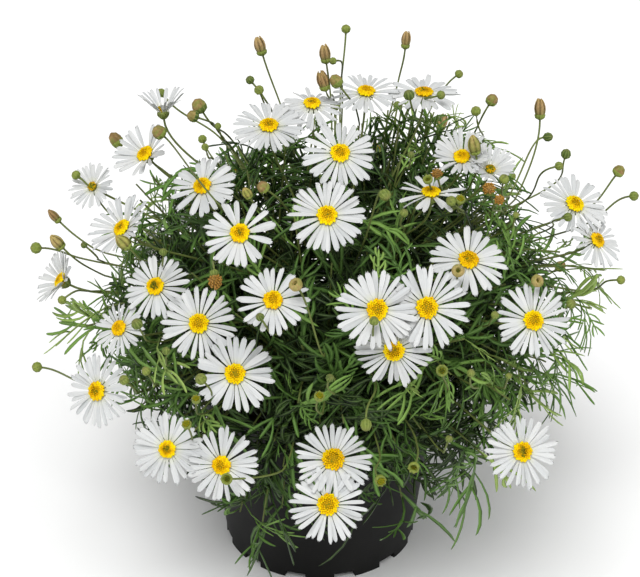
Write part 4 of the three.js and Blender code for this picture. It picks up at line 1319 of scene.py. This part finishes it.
def add_bud(all_parts, forms, kind, middle, axis, width, length, entry):
    """Sets one bud on its stalk: its green base and the head on it, or an open cup."""
    half, tall = width / 2 * MM, length / 2 * MM
    foot = middle - axis * tall
    cutting = grow_stalk(all_parts["stems"], foot, axis, entry, STALK_RADIUS)
    parts = {name: by_cutting[cutting] for name, by_cutting in all_parts.items()}
    place = standing(foot, axis, draw.uniform(0, math.tau))
    tone = draw.random()
    if kind not in BUD_KINDS:
        fill_cup(parts, forms, kind, foot, axis, place, half, tall)
        return
    base_wide, base_tall, base_tone, head = BUD_KINDS[kind]
    base = place @ scaled(half * base_wide, half * base_wide, tall * base_tall)
    put(parts["buds"], forms["core"], base, tone if base_tone is None else base_tone)
    if head:
        form, wide, high, (low, top) = head
        head_tone = low if low == top else draw.uniform(low, top)
        matrix = place @ scaled(half * wide, half * wide, tall * high)
        put(parts["closed_heads"], forms[form], matrix, head_tone)


# Pot and soil

def wall_radius(z):
    return POT_BASE + (POT_LIP - POT_LIP_OUT - POT_BASE) * z / POT_HEIGHT


def pot_profile(under):
    """The pot's wall, from the middle of its underside out, up, over its rolled lip and back in."""
    foot, wall = POT_FOOT_HEIGHT, POT_WALL
    under_lip = POT_HEIGHT - POT_LIP_HEIGHT
    rim = POT_LIP - POT_LIP_OUT
    levels = [foot + (under_lip - foot) * k / 6 for k in range(1, 7)]
    return [
        (0, foot), (POT_BASE - 2 * wall, foot), (POT_BASE - 2 * wall, under), (wall_radius(foot), under),
        *[(wall_radius(level), level) for level in levels],
        (wall_radius(under_lip) + POT_LIP_OUT * 0.7, under_lip + 0.2 * MM),
        (wall_radius(under_lip) + POT_LIP_OUT, under_lip + 0.9 * MM),
        (POT_LIP, POT_HEIGHT - 0.8 * MM), (POT_LIP - 0.5 * MM, POT_HEIGHT),
        (rim - wall + 0.5 * MM, POT_HEIGHT), (rim - wall, POT_HEIGHT - 0.8 * MM),
        (wall_radius(POT_FLOOR) - wall, POT_FLOOR), (0, POT_FLOOR),
    ]


def make_pot():
    """The pot, with its feet drawn down from the ring round its underside."""
    under = POT_FOOT_HEIGHT * 0.98
    bm = turned_profile(pot_profile(under), POT_FEET * 14)
    pitch = math.tau / POT_FEET
    feet = []
    for face in bm.faces:
        middle = face.calc_center_median()
        if face.normal.z < -0.9 and abs(middle.z - under) < 0.01 * MM:
            off = (math.atan2(middle.y, middle.x) / pitch + 0.5) % 1 - 0.5
            if abs(off) < 0.26:
                feet.append(face)
    grown = bmesh.ops.extrude_face_region(bm, geom=feet)["geom"]
    moved = [item for item in grown if isinstance(item, bmesh.types.BMVert)]
    bmesh.ops.translate(bm, verts=moved, vec=(0, 0, -under))
    bmesh.ops.delete(bm, geom=feet, context="FACES_ONLY")
    bmesh.ops.translate(bm, verts=bm.verts, vec=POT_AXIS)
    bmesh.ops.recalc_face_normals(bm, faces=bm.faces)
    smooth(bm)
    keep_crisp(bm, 35)
    piece("pot_shell", bm, pot_finish(), ["pot"])


def make_soil():
    """The soil, uneven on top, with crumbs on it."""
    low = POT_FOOT_HEIGHT + 2.6 * MM
    edge = wall_radius(SOIL_TOP) - POT_WALL - 0.5 * MM
    rings = 16
    profile = [(0, low), (wall_radius(low) - POT_WALL - 0.5 * MM, low), (edge, SOIL_TOP - 1.5 * MM)]
    profile += [(edge * k / rings, SOIL_TOP - 0.5 * MM) for k in range(rings, -1, -1)]
    bm = turned_profile(profile, 64)

    def rule(co):
        if co.z < SOIL_TOP - MM:
            return co
        lift = noise.noise(co * 140) * 1.6 * MM + noise.noise(co * 420) * 0.7 * MM
        return co + Vector((0, 0, min(lift, 0.4 * MM)))

    shaped(bm, rule)
    bm.verts.layers.float.new("tone")
    crumb = bmesh.new()
    bmesh.ops.create_icosphere(crumb, subdivisions=1, radius=1)
    shaped(crumb, lambda co: co * (1 + 0.35 * noise.noise(co * 1.7)))
    mesh = template("crumb", crumb)
    for _ in range(CRUMB_COUNT):
        turn, radius = draw.uniform(0, math.tau), edge * 0.97 * math.sqrt(draw.random())
        size = draw.uniform(0.5, 1.5) * MM
        place = Vector((radius * math.cos(turn), radius * math.sin(turn), SOIL_TOP - 0.7 * MM))
        tilt = Matrix.Rotation(draw.uniform(0, math.pi), 4, Vector((draw.random(), draw.random(), 0.5)))
        put(bm, mesh, Matrix.Translation(place) @ tilt @ scaled(size, size * 0.8, size * 0.7))
    bmesh.ops.translate(bm, verts=bm.verts, vec=POT_AXIS)
    smooth(bm)
    piece("soil_crumbs", bm, soil_finish(), ["soil"])


# The plant

def make_blooms(daisies, dome, florets, floret_paint):
    """The rays of each group of daisies, and each daisy's disc."""
    petal_paint = petal_finish()
    rays = [ray_template(k) for k in range(RAY_FORMS)]
    for group in [*DAISIES, *FAR_DAISIES]:
        wheel = toned()
        for daisy in (one for one in daisies if one["group"] == group):
            fill_rays(wheel, daisy, rays)
            disc = toned()
            fill_disc(disc, daisy, dome, florets)
            piece("florets_" + daisy["name"], disc, floret_paint, [daisy["node"]])
        piece("petals_" + group, wheel, petal_paint, ["rays_" + group])


def grow_daisy_stalks(parts, daisies):
    """The green cup under each daisy, and its stalk."""
    cup = cup_template()
    for daisy in daisies:
        foot = daisy["middle"] - CUP_DROP * daisy["normal"]
        wide = daisy["radius"] * 0.2
        matrix = standing(foot, daisy["normal"]) @ scaled(wide, wide, CUP_HEIGHT * 0.86)
        put(parts["cups"][in_cutting(foot)], cup, matrix)
        entry = MOUND_MIDDLE + (foot - MOUND_MIDDLE) * 0.62
        entry.z = max(entry.z, POT_HEIGHT + 12 * MM)
        grow_stalk(parts["stems"], foot, daisy["normal"], entry, STALK_RADIUS * 1.15)


def grow_leaves(parts, daisies):
    forms = {kind: [leaf_template(kind, k) for k in range(LEAF_FORMS)] for kind in LEAF_KINDS}
    for tip in shoot_places():
        while any(over_daisy(tip, daisy, 30 * MM, 8 * MM) for daisy in daisies):
            tip = tip.lerp(MOUND_MIDDLE, 0.06)
        grow_shoot(tip, parts, forms, daisies)


def grow_buds(parts, dome, floret):
    forms = {
        "core": bud_core_template(), "dome": dome, "floret": floret,
        "folded": folded_template("folded_head", 12, 0.96, -0.46, 0.08),
        "open": folded_template("open_head", 13, 0.95, -0.22, 0.14),
        "withered": withered_template(), "wide_cup": open_cup_template("wide_cup", 0.74),
        "narrow_cup": open_cup_template("narrow_cup", 0.46),
    }
    for kind, u, v, width, length, tip, entry_pixel in BUDS:
        middle, axis = seen_on_shell(u, v, BUD_RISE), seen_direction(u, v, tip, 0.97)
        entry = seen_on_shell(*entry_pixel, HIGH_ENTRIES.get(entry_pixel, -6 * MM))
        add_bud(parts, forms, kind, middle, axis, width, length, entry)
    for kind, bearing, height, width, length in FAR_BUDS:
        way = outward_at(bearing, height)
        middle = MOUND_MIDDLE + times(way, shell(BUD_RISE))
        axis = (way + FAR_BUD_LIFT * UP).normalized()
        entry = MOUND_MIDDLE + (middle - MOUND_MIDDLE) * 0.74
        add_bud(parts, forms, kind, middle, axis, width, length, entry)


def make_plant():
    daisies = daisy_list()
    floret_paint, green_paint = floret_finish(), bud_finish()
    dome = template("disc_dome", ball(20, 10))
    florets = [
        floret_template("open_floret", True, 0.45, 0.85, 1.5),
        floret_template("closed_floret", False, 0.5, 0.7, 1.25),
    ]
    paints = {
        "leaves": leaf_finish(), "stems": stalk_finish(), "cups": green_paint, "buds": green_paint,
        "closed_heads": closed_finish(), "bud_florets": floret_paint,
    }
    parts = {name: {cutting: toned() for cutting in CUTTINGS} for name in paints}
    make_blooms(daisies, dome, florets, floret_paint)
    grow_daisy_stalks(parts, daisies)
    grow_leaves(parts, daisies)
    grow_buds(parts, dome, florets[1])
    for name, paint in paints.items():
        for cutting, bm in parts[name].items():
            if bm.faces:
                piece(f"{name}_{cutting}", bm, paint, ["cutting_" + cutting])


# Stage

def make_stage():
    bm = bmesh.new()
    bmesh.ops.create_grid(bm, x_segments=1, y_segments=1, size=6)
    mesh = bpy.data.meshes.new("floor")
    bm.to_mesh(mesh)
    bm.free()
    paint = Finish("floor_white", Roughness=0.9, Specular_IOR_Level=0.1, Base_Color=(0.94, 0.94, 0.94, 1))
    mesh.materials.append(paint.material)
    floor = link("floor", mesh)


def add_sun(name, towards, strength, angle):
    data = bpy.data.lights.new(name, "SUN")
    data.energy = strength
    data.angle = math.radians(angle)
    lamp = link(name, data)
    lamp.rotation_euler = (-Vector(towards)).to_track_quat("-Z", "Y").to_euler()
    lamp.location = MOUND_MIDDLE + Vector(towards).normalized()


def make_light():
    world = bpy.data.worlds.new("studio")
    world.use_nodes = True
    background = world.node_tree.nodes["Background"]
    background.inputs["Color"].default_value = (1, 1, 1, 1)
    background.inputs["Strength"].default_value = 0.5
    bpy.context.scene.world = world
    add_sun("key", (-0.16, -0.66, 1.25), 2.3, 34)
    add_sun("fill", (0.9, -0.9, 0.7), 0.5, 60)
    bpy.context.scene.view_settings.view_transform = "Standard"
    bpy.context.scene.view_settings.look = "None"


def make_camera():
    data = bpy.data.cameras.new("camera")
    data.sensor_fit = "HORIZONTAL"
    data.sensor_width = SENSOR
    data.lens = VIEW_DISTANCE / VIEW_PIXEL * SENSOR / IMAGE_WIDTH
    camera = link("camera", data)
    camera.location = EYE
    camera.rotation_euler = VIEW_FORWARD.to_track_quat("-Z", "Y").to_euler()
    bpy.context.scene.camera = camera


make_camera()
make_stage()
make_light()
make_pot()
make_soil()
make_plant()
